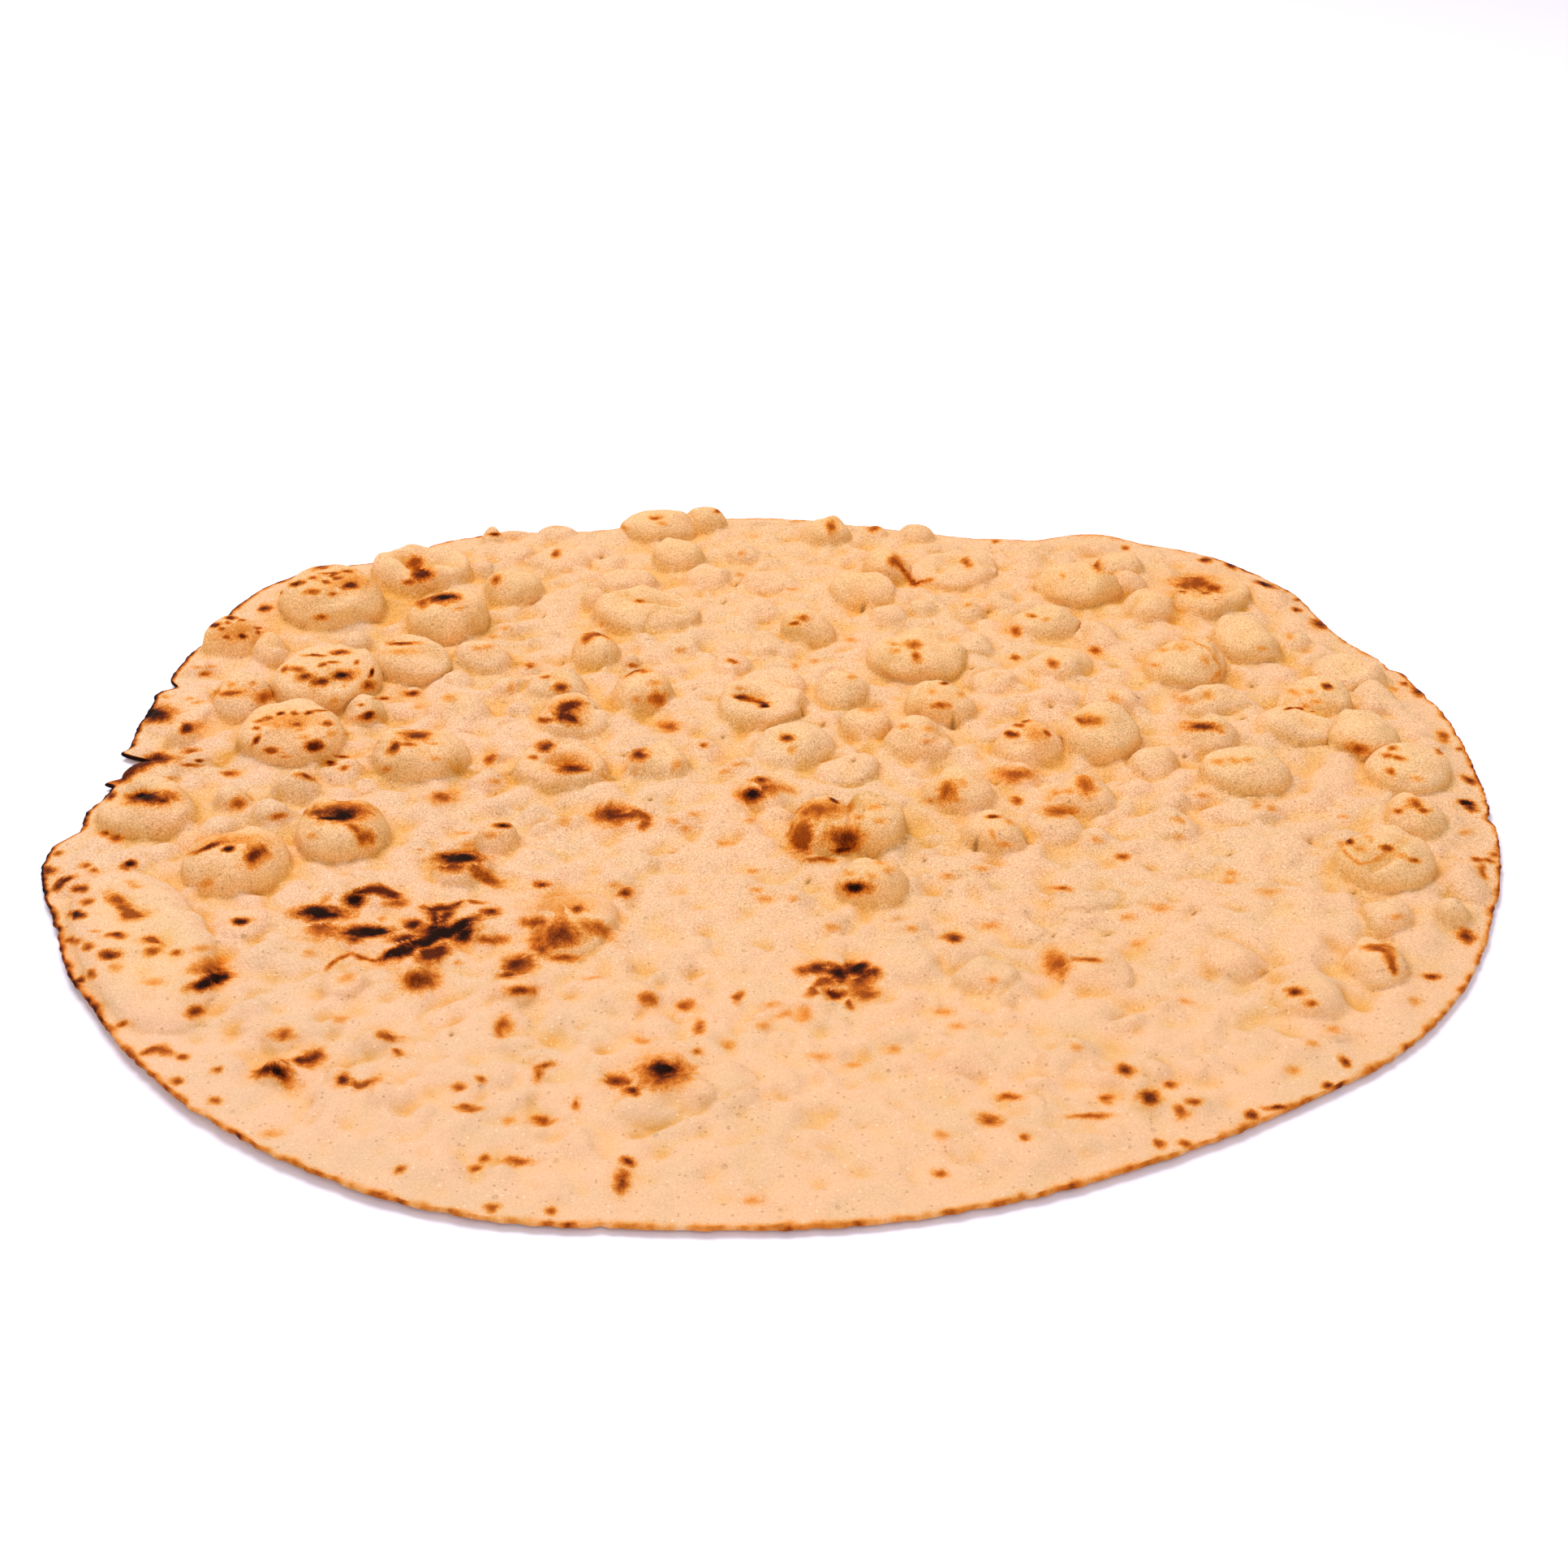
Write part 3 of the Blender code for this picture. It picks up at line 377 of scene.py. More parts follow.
# Spots: x, y, and, where it isn't the usual one, width and depth.
SPOTS = {
    STRAW: (
        (0.65, 22.6), (-11.1, 21.9), (-9.2, 22.2), (-7.4, 21.7), (-6.35, 21.9), (-4.85, 22.3),
        (-17.0, 16.6, 2.0, 1.6), (-1.6, 17.3), (-1.5, 19.3, 0.25, 0.5), (11.25, 17.2, 0.25, 0.6),
        (13.2, 17.5), (16.3, 19.5), (-12.9, 14.5), (-12.4, 14.2), (0.55, 15.95, 0.4, 0.3), (7.3, 14.5),
        (16.5, 16.3, 1.7, 1.9), (-20.5, 12.1, 1.7, 1.8), (-11.3, 10.7), (-10.9, 10.8), (-10.75, 11.7),
        (-10.4, 12.4), (-6.75, 12.7, 0.2, 0.5), (-3.7, 10.5), (2.7, 11.4), (4.3, 11.1), (4.35, 10.5),
        (10.2, 13.2), (14.4, 10.6), (15.1, 10.8, 0.5, 0.6), (18.1, 10.7), (19.3, 11.7, 0.3, 0.5),
        (-21.5, 9.1, 0.4, 0.25), (-21.0, 9.2, 0.4, 0.2), (-19.95, 7.75), (-19.2, 7.75),
        (-15.85, 7.6, 0.25, 0.25), (-14.1, 10.4, 1.2, 0.5), (-4.5, 7.8, 0.5, 0.5), (0.6, 9.2), (1.35, 9.65),
        (2.7, 8.3), (13.9, 9.3), (15.85, 9.7, 0.2, 0.8), (-22.2, 6.65), (-21.5, 5.4, 0.3, 0.3),
        (-21.3, 6.6, 0.4, 0.2), (-20.9, 6.25, 0.4, 0.2), (-19.7, 7.0, 1.3, 0.9), (-17.4, 4.9, 2.0, 1.2),
        (-16.05, 6.5, 0.3, 0.5), (-12.9, 5.9), (-11.9, 6.6, 0.5, 0.6), (-9.7, 7.5, 0.35, 0.8),
        (-5.15, 6.5, 0.3, 0.5), (-1.4, 7.4), (3.2, 5.75, 0.6, 0.5), (5.6, 7.1), (6.6, 6.9),
        (12.1, 6.6, 0.5, 0.8), (14.7, 6.5, 0.5, 0.6), (15.6, 6.85, 0.35, 0.7), (18.7, 7.1), (18.9, 6.0),
        (19.3, 7.2), (19.4, 6.3), (22.35, 7.3), (-20.6, 4.3, 0.9, 1.1), (-17.75, 4.45),
        (-17.25, 2.35, 0.25, 0.35), (-17.1, 2.2, 0.3, 0.3), (-17.0, 4.2, 0.3, 0.3), (-16.7, 3.65),
        (-15.75, 3.85, 0.3, 0.7), (-15.2, 3.9, 0.3, 0.2), (-12.15, 3.1, 0.6, 0.25), (-11.9, 2.0, 0.3, 0.3),
        (-7.3, 1.9, 1.4, 1.0), (-3.5, 1.6, 0.25, 0.9), (-1.4, 1.6), (0.5, 2.7, 0.25, 0.6), (4.4, 4.4),
        (5.25, 3.3), (5.3, 4.25), (9.1, 3.9, 0.8, 1.3), (15.2, 1.8), (15.65, 4.05), (15.85, 1.9),
        (16.25, 1.9), (-20.8, 0.65), (-20.8, -0.7, 0.9, 1.0), (-13.45, 1.3), (-9.65, 0.4, 0.5, 0.4),
        (-1.8, 1.1), (2.3, -1.3), (3.3, -1.4), (5.2, -1.0), (6.0, -0.9), (6.3, 0.3, 0.3, 0.7), (9.45, -0.4),
        (9.9, -0.35), (14.4, -0.55), (16.1, -1.3, 0.2, 0.5), (16.55, -1.5), (21.2, -1.4), (21.85, 0.6),
        (-18.0, -3.7, 2.2, 1.0), (-15.3, -3.3), (-11.7, -4.2, 0.15, 0.15), (-10.4, -3.1, 0.5, 0.2),
        (-10.2, -3.9), (-9.5, -3.25, 0.5, 0.45), (-7.1, -2.4, 0.5, 0.5), (-3.5, -2.3), (-3.1, -2.8),
        (-2.8, -1.9), (-1.8, -3.8), (-0.9, -2.3), (2.7, -2.1), (3.4, -2.3), (7.1, -3.2, 0.2, 0.7),
        (7.4, -3.9), (7.7, -2.4), (10.5, -3.6), (13.25, -3.4), (13.35, -2.3), (18.85, -1.95, 0.3, 0.3),
        (19.1, -4.2), (19.5, -3.5, 0.2, 0.6), (22.75, -3.1), (-20.8, -6.3, 0.35, 0.2),
        (-20.5, -6.5, 0.35, 0.2), (-18.3, -6.35, 0.35, 0.5), (-14.3, -7.35, 0.3, 0.5),
        (-5.25, -6.5, 0.4, 0.3), (-0.8, -5.6), (-0.65, -6.8), (-0.45, -7.35), (0.45, -7.3), (2.3, -5.7),
        (3.05, -5.9), (3.3, -5.05), (3.6, -5.5), (5.45, -5.9), (6.6, -5.4, 0.5, 0.3), (14.45, -6.2),
        (14.65, -5.75), (15.65, -6.9, 0.7, 0.4), (20.3, -4.6), (-21.2, -9.3, 0.3, 0.15),
        (-17.75, -10.3, 0.5, 0.4), (-12.4, -8.55, 0.35, 0.3), (-6.75, -7.9, 1.7, 1.5),
        (1.7, -9.0, 0.45, 0.4), (4.15, -9.1), (6.55, -8.9, 0.5, 0.4), (11.0, -8.4), (11.15, -9.9),
        (12.1, -7.9, 0.7, 0.5), (19.45, -8.35), (-20.1, -11.3, 0.3, 0.5), (-18.8, -12.1, 0.6, 0.4),
        (-14.35, -10.5), (-13.05, -11.9, 0.5, 0.5), (-9.75, -11.05, 0.4, 0.3), (-5.6, -11.9, 0.6, 0.2),
        (-0.2, -13.35), (6.5, -12.0), (12.2, -13.2), (19.1, -13.2), (-12.9, -14.1), (-3.9, -15.3),
        (-1.4, -15.5), (-0.4, -14.5), (0.2, -13.9), (0.8, -13.9, 0.4, 0.7), (1.25, -16.1, 0.5, 0.4),
        (3.35, -15.7), (4.95, -13.8), (5.3, -14.5), (8.7, -15.6), (15.6, -15.4), (16.4, -14.7),
        (-12.1, -17.3), (-7.4, -19.2), (2.2, -16.5), (14.8, -16.75), (-14.1, -19.8, 0.5, 0.4), (4.6, -19.9),
        (-0.6, -22.8, 0.5, 0.4),
    ),
    BROWN: (
        (0.75, -11.55, 0.4, 0.45), (1.4, -11.2, 1.0, 0.45), (2.95, -11.6, 0.4, 0.6),
        (2.5, -12.2, 0.75, 1.5), (2.7, -12.85, 0.55, 0.45), (1.75, -12.75, 0.6, 0.5),
        (2.15, -13.35, 0.2, 0.45), (1.5, -12.1, 0.5, 0.7), (16.4, 16.5, 1.1, 1.2), (17.0, 16.1, 0.5, 0.7),
        (15.9, 16.3, 0.5, 0.6), (-5.1, 22.9, 0.4, 0.4), (-2.6, 23.6), (1.0, 22.8), (2.15, 22.0, 0.4, 1.2),
        (3.9, 21.8, 0.4, 0.6), (8.4, 20.9), (8.8, 20.5), (14.0, 19.9, 0.3, 0.4), (-18.8, 16.6),
        (-18.4, 17.0), (-17.8, 16.6), (-17.7, 17.4, 0.6, 0.25), (-17.6, 17.2), (-17.4, 16.9),
        (-17.1, 17.6, 0.5, 0.25), (-14.5, 18.4, 0.5, 0.9), (-14.5, 16.6, 0.6, 0.45),
        (-11.1, 16.8, 0.35, 0.8), (-8.95, 19.3, 0.3, 0.6), (4.65, 18.6, 0.45, 0.9), (7.5, 18.4, 0.35, 0.8),
        (12.7, 18.1, 0.35, 1.0), (18.9, 17.8), (-18.25, 15.65, 0.45, 0.5), (-17.35, 15.5),
        (-13.8, 14.6, 0.5, 0.8), (-5.35, 14.8), (5.3, 16.4, 0.35, 0.5), (15.75, 15.7), (16.7, 15.6),
        (19.8, 16.2), (19.9, 15.8), (20.15, 15.0), (-21.2, 12.3), (-21.0, 12.8), (-20.9, 13.3),
        (-20.9, 11.6), (-20.55, 13.1, 0.25, 0.2), (-20.0, 12.9, 0.2, 0.2), (-19.85, 12.5), (-19.75, 12.1),
        (-17.5, 13.4, 0.45, 0.5), (0.6, 12.8), (0.9, 13.3, 0.4, 0.5), (5.05, 10.95, 0.55, 0.55),
        (9.0, 12.2, 0.35, 0.9), (9.7, 13.5), (11.85, 10.5, 0.3, 0.6), (-21.1, 8.6, 0.35, 0.4),
        (-18.2, 8.9, 0.25, 0.6), (-17.75, 8.9, 0.5, 0.4), (-16.85, 9.35), (-16.55, 9.5, 0.4, 0.25),
        (-15.65, 9.5, 0.2, 0.35), (-9.15, 9.2), (-8.55, 8.35), (-5.4, 9.25), (-1.7, 9.6),
        (5.15, 10.0, 0.3, 0.8), (8.85, 9.9, 0.3, 0.5), (10.2, 9.45, 0.35, 0.6), (22.9, 7.75),
        (-20.0, 7.05, 0.7, 0.4), (-18.6, 6.7, 0.55, 0.9), (-18.4, 4.85), (-18.2, 5.05),
        (-17.3, 5.45, 0.3, 0.25), (-17.15, 4.65), (-16.35, 5.65, 0.5, 0.2), (-16.05, 4.65),
        (-15.05, 6.1, 0.2, 0.2), (-14.7, 5.1, 0.6, 0.5), (-8.3, 4.9, 0.5, 0.4), (-7.6, 5.6, 0.9, 1.4),
        (-4.4, 6.6, 0.55, 1.0), (5.85, 6.0, 0.5, 0.5), (8.5, 4.5), (8.8, 4.9), (10.7, 4.9, 0.3, 0.4),
        (11.15, 4.9, 0.7, 0.8), (-20.5, 2.6, 0.5, 0.4), (-20.3, 1.6, 0.6, 0.25), (-18.5, 4.3, 0.25, 0.3),
        (-17.7, 2.6, 0.5, 0.4), (-17.7, 2.6, 0.4, 0.4), (-12.95, 3.05, 0.5, 0.3), (-8.5, 2.1),
        (-3.85, 4.4, 0.7, 0.7), (-2.65, 3.0), (9.5, 3.9, 0.2, 0.5), (20.3, 2.75, 0.65, 0.7), (21.25, 2.25),
        (21.5, 2.75), (21.6, 2.05), (23.05, 2.5, 0.2, 0.4), (23.4, 3.7, 0.35, 0.8), (23.85, 2.7),
        (-18.8, 0.95, 0.5, 0.3), (-18.2, -1.1, 0.5, 0.8), (-15.0, 1.35), (-11.3, -0.75, 0.8, 0.7),
        (-0.45, -0.1, 0.9, 0.7), (8.05, -1.0, 0.3, 0.5), (8.15, 0.9, 1.1, 0.8), (10.5, 0.1, 0.5, 1.2),
        (21.05, 1.05, 0.3, 0.5), (21.5, -1.2, 0.4, 0.6), (-23.5, -4.45), (-22.25, -3.15),
        (-21.8, -3.5, 0.4, 0.4), (-16.7, -2.0, 0.5, 0.4), (-15.4, -1.8, 0.8, 0.5), (-4.9, -2.0, 0.6, 0.6),
        (0.75, -3.5, 0.7, 1.8), (1.4, -1.6, 1.3, 1.0), (9.4, -1.7, 0.8, 0.7), (19.95, -4.15, 0.4, 0.35),
        (20.8, -1.65), (21.7, -1.6), (-22.45, -5.2), (-22.1, -5.55), (-21.9, -7.5, 0.45, 0.35),
        (-10.6, -5.4, 0.9, 0.6), (1.4, -4.9, 0.9, 0.3), (9.1, -6.7, 0.5, 0.25), (11.25, -4.7, 0.4, 0.4),
        (20.7, -4.9), (22.75, -4.9), (22.75, -5.6, 0.25, 0.8), (23.15, -4.95), (23.4, -4.55),
        (-21.9, -9.8, 0.5, 0.4), (-21.3, -10.15, 0.4, 0.4), (-20.25, -8.25, 0.7, 0.5),
        (-19.4, -9.75, 0.5, 0.4), (-19.2, -10.4, 0.4, 0.55), (-14.25, -9.1, 0.7, 1.1),
        (-13.1, -9.7, 0.5, 0.5), (-12.05, -7.6, 0.6, 0.45), (-10.85, -7.95, 0.7, 0.5),
        (-10.3, -10.45, 0.5, 0.4), (-8.9, -9.7, 0.8, 0.5), (-7.6, -8.7, 0.7, 0.6), (-7.25, -10.3, 0.7, 0.6),
        (-20.85, -11.7, 0.35, 0.45), (-18.5, -10.5), (-17.3, -11.35, 0.9, 0.8), (-8.2, -11.75, 0.5, 0.4),
        (-6.5, -10.8, 0.8, 0.4), (-2.7, -13.4, 0.35, 0.5), (-1.15, -12.95, 0.2, 0.6),
        (8.5, -11.1, 0.6, 1.2), (9.5, -10.9, 0.8, 0.25), (15.9, -13.3), (18.75, -11.3, 0.25, 0.6),
        (-19.3, -14.5), (-17.2, -16.1), (-14.5, -14.95, 0.6, 0.5), (-11.0, -15.9), (-8.1, -14.5, 0.35, 0.9),
        (-2.3, -14.6, 0.3, 0.6), (-2.25, -15.9), (-17.15, -17.3), (-16.1, -16.8), (-15.9, -18.3),
        (-9.1, -17.6), (-8.7, -18.6, 0.6, 0.3), (-8.5, -17.2), (-6.85, -17.0, 0.25, 0.6),
        (-6.7, -16.5, 0.5, 0.3), (-6.6, -19.2, 0.6, 0.35), (-5.65, -18.4, 0.2, 0.6),
        (6.0, -19.2, 0.6, 0.45), (6.6, -18.1, 0.5, 0.3), (8.8, -19.0, 1.0, 0.25), (9.35, -18.2),
        (11.25, -17.45), (11.35, -18.8, 0.35, 0.6), (11.8, -18.3, 0.4, 0.3), (-10.25, -21.5), (-8.2, -21.4),
        (-8.0, -21.0), (-7.1, -21.1, 0.6, 0.3), (4.45, -21.6), (6.9, -20.0), (10.6, -20.3), (11.3, -20.3),
        (-7.6, -23.2), (-6.0, -23.3),
    ),
    DARK: (
        (1.25, -11.45, 0.6, 0.4), (2.6, -11.55, 0.6, 0.75), (1.68, -12.8, 0.25, 0.3), (-12.3, 21.1),
        (-11.6, 21.2, 0.4, 0.3), (-14.1, 17.3, 0.6, 1.0), (17.05, 18.7, 0.4, 0.4), (18.05, 18.2, 0.45, 0.7),
        (-19.8, 14.2, 0.35, 0.7), (-19.6, 15.6), (-19.0, 16.4), (-16.8, 16.3, 0.5, 0.7),
        (-13.1, 15.1, 0.9, 0.7), (-12.7, 15.3, 0.5, 0.5), (19.9, 14.0, 0.3, 0.3), (-21.5, 12.7),
        (-21.0, 13.3), (-20.2, 11.8, 0.35, 0.4), (-14.15, 11.1, 0.9, 0.3), (20.65, 12.8, 0.5, 0.8),
        (-17.35, 8.35, 0.6, 0.6), (-17.3, 10.1, 0.7, 0.2), (-16.75, 7.85, 0.5, 0.6),
        (-16.35, 10.35, 0.55, 0.3), (-16.0, 8.45, 0.85, 0.7), (-14.95, 7.6, 0.4, 0.65),
        (6.1, 7.8, 0.3, 0.2), (-22.2, 5.3, 1.0, 1.1), (-17.8, 5.4, 0.3, 0.3), (-16.8, 5.5, 0.35, 0.25),
        (-14.65, 5.35, 0.35, 0.45), (-14.3, 6.6, 0.4, 0.25), (-13.3, 7.0, 0.45, 0.35),
        (-7.95, 7.5, 0.4, 0.7), (-1.4, 6.7, 0.3, 0.3), (20.0, 7.5, 0.25, 0.5), (23.3, 7.2, 0.5, 0.8),
        (-20.95, 4.3, 0.4, 0.7), (-20.05, 1.95, 0.25, 0.2), (-18.4, 3.4, 0.2, 0.7),
        (-16.3, 3.0, 0.45, 0.65), (-16.2, 2.8, 0.4, 0.5), (-15.5, 1.65, 0.3, 0.25), (-15.15, 2.2, 0.5, 0.2),
        (-13.45, 2.85, 0.35, 0.8), (-12.75, 3.75, 0.9, 0.6), (-8.15, 2.9, 0.5, 0.7), (-4.8, 2.3, 0.5, 0.8),
        (0.3, 3.6, 0.4, 0.5), (8.25, 3.85, 0.4, 0.4), (15.0, 4.4, 1.0, 0.6), (-22.6, -0.6, 0.3, 0.6),
        (-21.2, -0.8, 1.3, 0.8), (-20.7, -0.95), (-7.1, 1.25, 0.9, 0.5), (-0.85, -0.55, 0.75, 0.85),
        (-0.6, 0.45, 0.5, 0.4), (23.3, -1.4, 0.4, 0.5), (23.95, -1.0, 0.2, 0.25), (-14.6, -1.7, 1.5, 1.1),
        (-5.6, -1.9, 1.0, 1.1), (2.1, -4.2, 0.6, 0.4), (2.2, -3.5, 1.0, 1.2), (7.2, -2.05, 0.4, 0.2),
        (18.8, -3.7, 0.3, 0.4), (23.95, -3.5, 0.25, 0.3), (24.0, -1.7, 0.25, 0.2),
        (24.05, -2.7, 0.25, 0.25), (-23.6, -5.6, 0.6, 0.45), (-22.25, -6.7, 0.4, 0.4),
        (-17.05, -4.55, 0.65, 1.2), (-13.4, -7.4, 0.6, 0.8), (-10.4, -4.8, 1.25, 0.75),
        (-7.5, -6.4, 0.5, 0.35), (-4.8, -6.95, 0.45, 0.5), (2.5, -6.65, 0.8, 0.75),
        (-20.5, -9.5, 0.55, 0.3), (-14.2, -8.3, 1.3, 0.6), (-12.95, -9.3, 1.5, 0.7),
        (-11.6, -9.7, 0.8, 0.5), (-11.4, -8.85, 0.5, 0.6), (-9.8, -9.5, 0.5, 0.9), (-9.0, -8.1, 0.5, 0.4),
        (-6.8, -9.5, 1.1, 1.3), (-6.3, -7.95, 0.35, 0.4), (5.45, -9.6, 0.45, 0.45), (21.4, -9.5, 0.45, 0.7),
        (-21.2, -12.1, 0.3, 0.35), (-20.5, -10.6, 0.5, 0.5), (-10.8, -12.05, 0.8, 1.0),
        (-10.7, -10.6, 0.7, 0.9), (-7.9, -11.15, 0.8, 0.8), (-7.7, -12.6, 0.7, 0.5),
        (15.6, -12.65, 0.5, 0.4), (19.85, -11.8, 0.4, 0.3), (-17.3, -13.75, 0.45, 0.6), (-13.8, -16.3),
        (-13.4, -16.1, 0.45, 0.8), (16.4, -16.3, 0.25, 0.5), (-12.45, -17.25, 0.35, 0.5),
        (-4.6, -17.3, 0.6, 0.5), (-4.1, -17.8), (-3.3, -16.9, 1.15, 1.2), (10.0, -16.75, 0.45, 0.45),
        (10.55, -18.1, 0.5, 0.6), (13.35, -19.0), (14.1, -18.6, 0.6, 0.25), (15.7, -17.5),
        (-4.2, -22.0, 0.4, 0.8), (-4.1, -21.1),
    ),
    BLACK: (
        (1.87, -11.65, 0.55, 0.75), (2.35, -11.35, 0.45, 0.5), (-13.0, 15.2, 0.5, 0.35),
        (-16.0, 8.45, 0.45, 0.35), (-14.95, 8.65, 0.15, 0.6), (-22.5, 5.5, 0.6, 0.8),
        (-0.55, 5.95, 0.35, 0.2), (-21.5, -0.65, 0.5, 0.4), (-0.85, -0.5, 0.4, 0.55),
        (23.2, -1.1, 0.5, 0.3), (-18.0, -4.2, 0.35, 0.3), (-14.5, -2.0, 0.7, 0.4), (-9.15, -2.6, 0.5, 0.3),
        (-21.05, -5.25), (-13.4, -7.35, 0.5, 0.6), (-10.35, -4.75, 1.0, 0.5), (2.45, -6.6, 0.4, 0.35),
        (-22.05, -8.25), (-16.8, -8.65, 0.5, 0.35), (-14.55, -8.1, 1.1, 0.65), (-12.6, -9.3, 1.0, 0.4),
        (-10.4, -9.25, 1.4, 0.85), (-17.05, -11.95, 0.55, 0.7), (-14.3, -16.8), (-3.2, -16.7, 0.55, 0.45),
    ),
}
# Streaks of scorching: how brown, how wide, then x, y of each point.
STREAKS = (
    (BLACK, 0.26, -11.95, -10.8, -11.2, -10.1, -10.5, -9.45, -9.6, -8.6),
    (DARK, 0.2, -10.55, -9.1, -10.95, -8.0, -10.15, -7.7),
    (DARK, 0.2, -10.35, -10.1, -10.4, -10.6, -10.95, -10.6),
    (BROWN, 0.2, -14.7, 19.0, -14.4, 18.0, -14.1, 17.3),
    (BROWN, 0.15, 4.65, 18.6, 5.0, 17.5, 5.3, 16.4, 5.9, 16.8),
    (STRAW, 0.08, 14.0, 10.75, 14.7, 11.4, 15.6, 11.4, 16.1, 10.6, 16.3, 9.25, 15.9, 7.9),
    (STRAW, 0.1, 18.5, -3.5, 18.5, -4.15, 18.7, -4.8, 18.9, -5.2, 19.3, -5.0, 19.8, -4.5, 20.15, -4.0),
    (DARK, 0.07, 18.2, 5.75, 18.6, 5.85, 19.1, 5.6), (BLACK, 0.16, 18.9, 16.6, 19.3, 16.1),
    (BROWN, 0.18, -7.3, 11.2, -7.2, 11.9, -6.6, 11.9, -6.3, 11.5),
    (BROWN, 0.16, -5.6, 8.4, -5.3, 8.8, -4.9, 8.8), (BROWN, 0.18, -1.5, 6.8, -0.9, 6.4, -0.4, 6.1),
    (DARK, 0.12, -0.7, 6.2, -0.4, 6.05), (DARK, 0.28, -7.3, 6.2, -7.8, 5.6, -7.2, 4.6),
    (BROWN, 0.14, -9.9, 2.3, -10.1, 1.6), (DARK, 0.16, 23.6, 0.7, 23.8, 0.2),
    (BROWN, 0.18, 18.2, -10.2, 18.75, -10.2, 18.8, -11.3), (BROWN, 0.3, 0.9, -2.2, 0.8, -4.5),
    (DARK, 0.12, 1.8, -0.45, 2.0, -1.2), (BROWN, 0.26, 5.8, 0.3, 5.7, -0.9),
    (STRAW, 0.18, 0.1, 0.2, 0.5, -0.5), (BROWN, 0.16, -18.4, -15.9, -18.0, -15.7, -17.6, -15.9),
    (BROWN, 0.18, -11.6, -14.9, -11.2, -15.2), (DARK, 0.2, -14.9, -17.0, -14.4, -16.5, -13.85, -17.3),
    (BROWN, 0.16, -12.1, -17.3, -11.8, -17.6, -11.5, -17.25), (BROWN, 0.18, -4.0, -12.85, -3.75, -13.4),
    (BLACK, 0.1, -15.4, -2.1, -14.4, -2.2), (BROWN, 0.2, -14.3, -2.4, -13.7, -3.1, -13.5, -3.8),
    (BROWN, 0.18, -4.9, -1.6, -4.4, -2.2, -4.4, -2.8), (BROWN, 0.26, -9.9, -5.2, -9.4, -6.0, -9.0, -6.4),
    (DARK, 0.2, -13.5, -7.6, -13.4, -7.0, -12.9, -6.65, -12.4, -6.9, -12.2, -7.2),
    (DARK, 0.2, -10.3, -8.0, -10.5, -8.8), (BROWN, 0.1, -10.2, -7.8, -9.9, -7.5, -9.3, -7.55),
    (BROWN, 0.25, -9.95, -9.0, -9.35, -8.3), (DARK, 0.18, -11.15, -9.85, -11.65, -10.2, -12.05, -10.8),
    (BROWN, 0.1, -12.3, -10.95, -12.65, -10.9, -13.1, -10.55, -13.5, -10.85, -13.75, -11.45),
    (BROWN, 0.25, -6.0, -8.7, -5.3, -9.5), (DARK, 0.16, -19.1, -4.45, -18.2, -3.65),
    (DARK, 0.16, -23.05, -6.7, -23.0, -6.25, -22.7, -6.0),
    (BROWN, 0.2, -21.2, -7.1, -20.8, -7.65, -20.25, -8.25),
    (BLACK, 0.2, -17.6, -12.5, -17.1, -12.0, -16.7, -11.9), (DARK, 0.16, -16.4, 0.9, -16.0, 0.5),
    (DARK, 0.3, -22.6, 0.4, -22.3, 1.2, -21.7, 2.0, -21.2, 2.0), (BROWN, 0.08, -19.4, -9.75, -19.05, -9.95),
    (BROWN, 0.13, 0.95, -12.9, 1.2, -12.4, 1.6, -12.0), (BLACK, 0.2, -18.3, 18.0, -17.8, 18.8),
)
SPREAD = 2.15                    # a mark's heat fades to nothing at this many times its half-size
STREAK_OVERLAP = 0.7             # half-length of a streak's ellipses, as a share of each stretch of it
MARK_WAVER = ((1.2, 0.07), (0.5, 0.035))   # how its outline wanders: wavelength, width
DEPTH_OF_REACH = 0.8             # how far past its size a mark reaches into the crust's hollows
MARK_REACH = 1.9                 # a mark counts on a face up to this many times its half-size
SEARCH, FACE_SIZE = 1.6, 0.2     # the faces looked at lie this many half-sizes from it, and a face more
SIGHT_WEIGHT = 10.0              # what lying off the line of sight counts for, against lying behind
NO_MARK = (0.0, 90.0, 90.0, 1.0, 1.0, 0.0)    # for the faces that have none: no heat, and far off

# Every mark as an ellipse: how brown, x, y, half-length, half-width, and its turn.
marks = []
for browning, spots in SPOTS.items():
    for spot in spots:
        wide, deep = spot[2:] or (USUAL_SIZE[browning],) * 2
        marks.append((browning, *spot[:2], 0.5 * SPREAD * wide, 0.5 * SPREAD * deep, 0.0))
for browning, width, *line in STREAKS:
    for x0, y0, x1, y1 in (line[k:k + 4] for k in range(0, len(line) - 2, 2)):
        length = STREAK_OVERLAP * math.hypot(x1 - x0, y1 - y0) + SPREAD * width
        marks.append((browning, 0.5 * (x0 + x1), 0.5 * (y0 + y1), length, SPREAD * width,
                      math.atan2(y1 - y0, x1 - x0)))
marks = np.array(marks)


def apparent(x, y, z):
    """Where a point shows on that plane to the onlooker: the line from the eye, carried on to it."""
    share = (EYE[2] - PLANE_HEIGHT) / (EYE[2] - z)
    return EYE[0] + (x - EYE[0]) * share, EYE[1] + (y - EYE[1]) * share


def landing(px, py, x, y, z):
    """The crust that the onlooker sees at each place of that plane: of the crust's points that show
    close by, the one nearest the eye."""
    seen_x, seen_y = apparent(x, y, z)
    off = np.sqrt((x - EYE[0]) ** 2 + (y - EYE[1]) ** 2 + (z - EYE[2]) ** 2)
    hits = [np.argmin(off + SIGHT_WEIGHT * np.hypot(seen_x - a, seen_y - b)) for a, b in zip(px, py)]
    return x[hits], y[hits], z[hits]


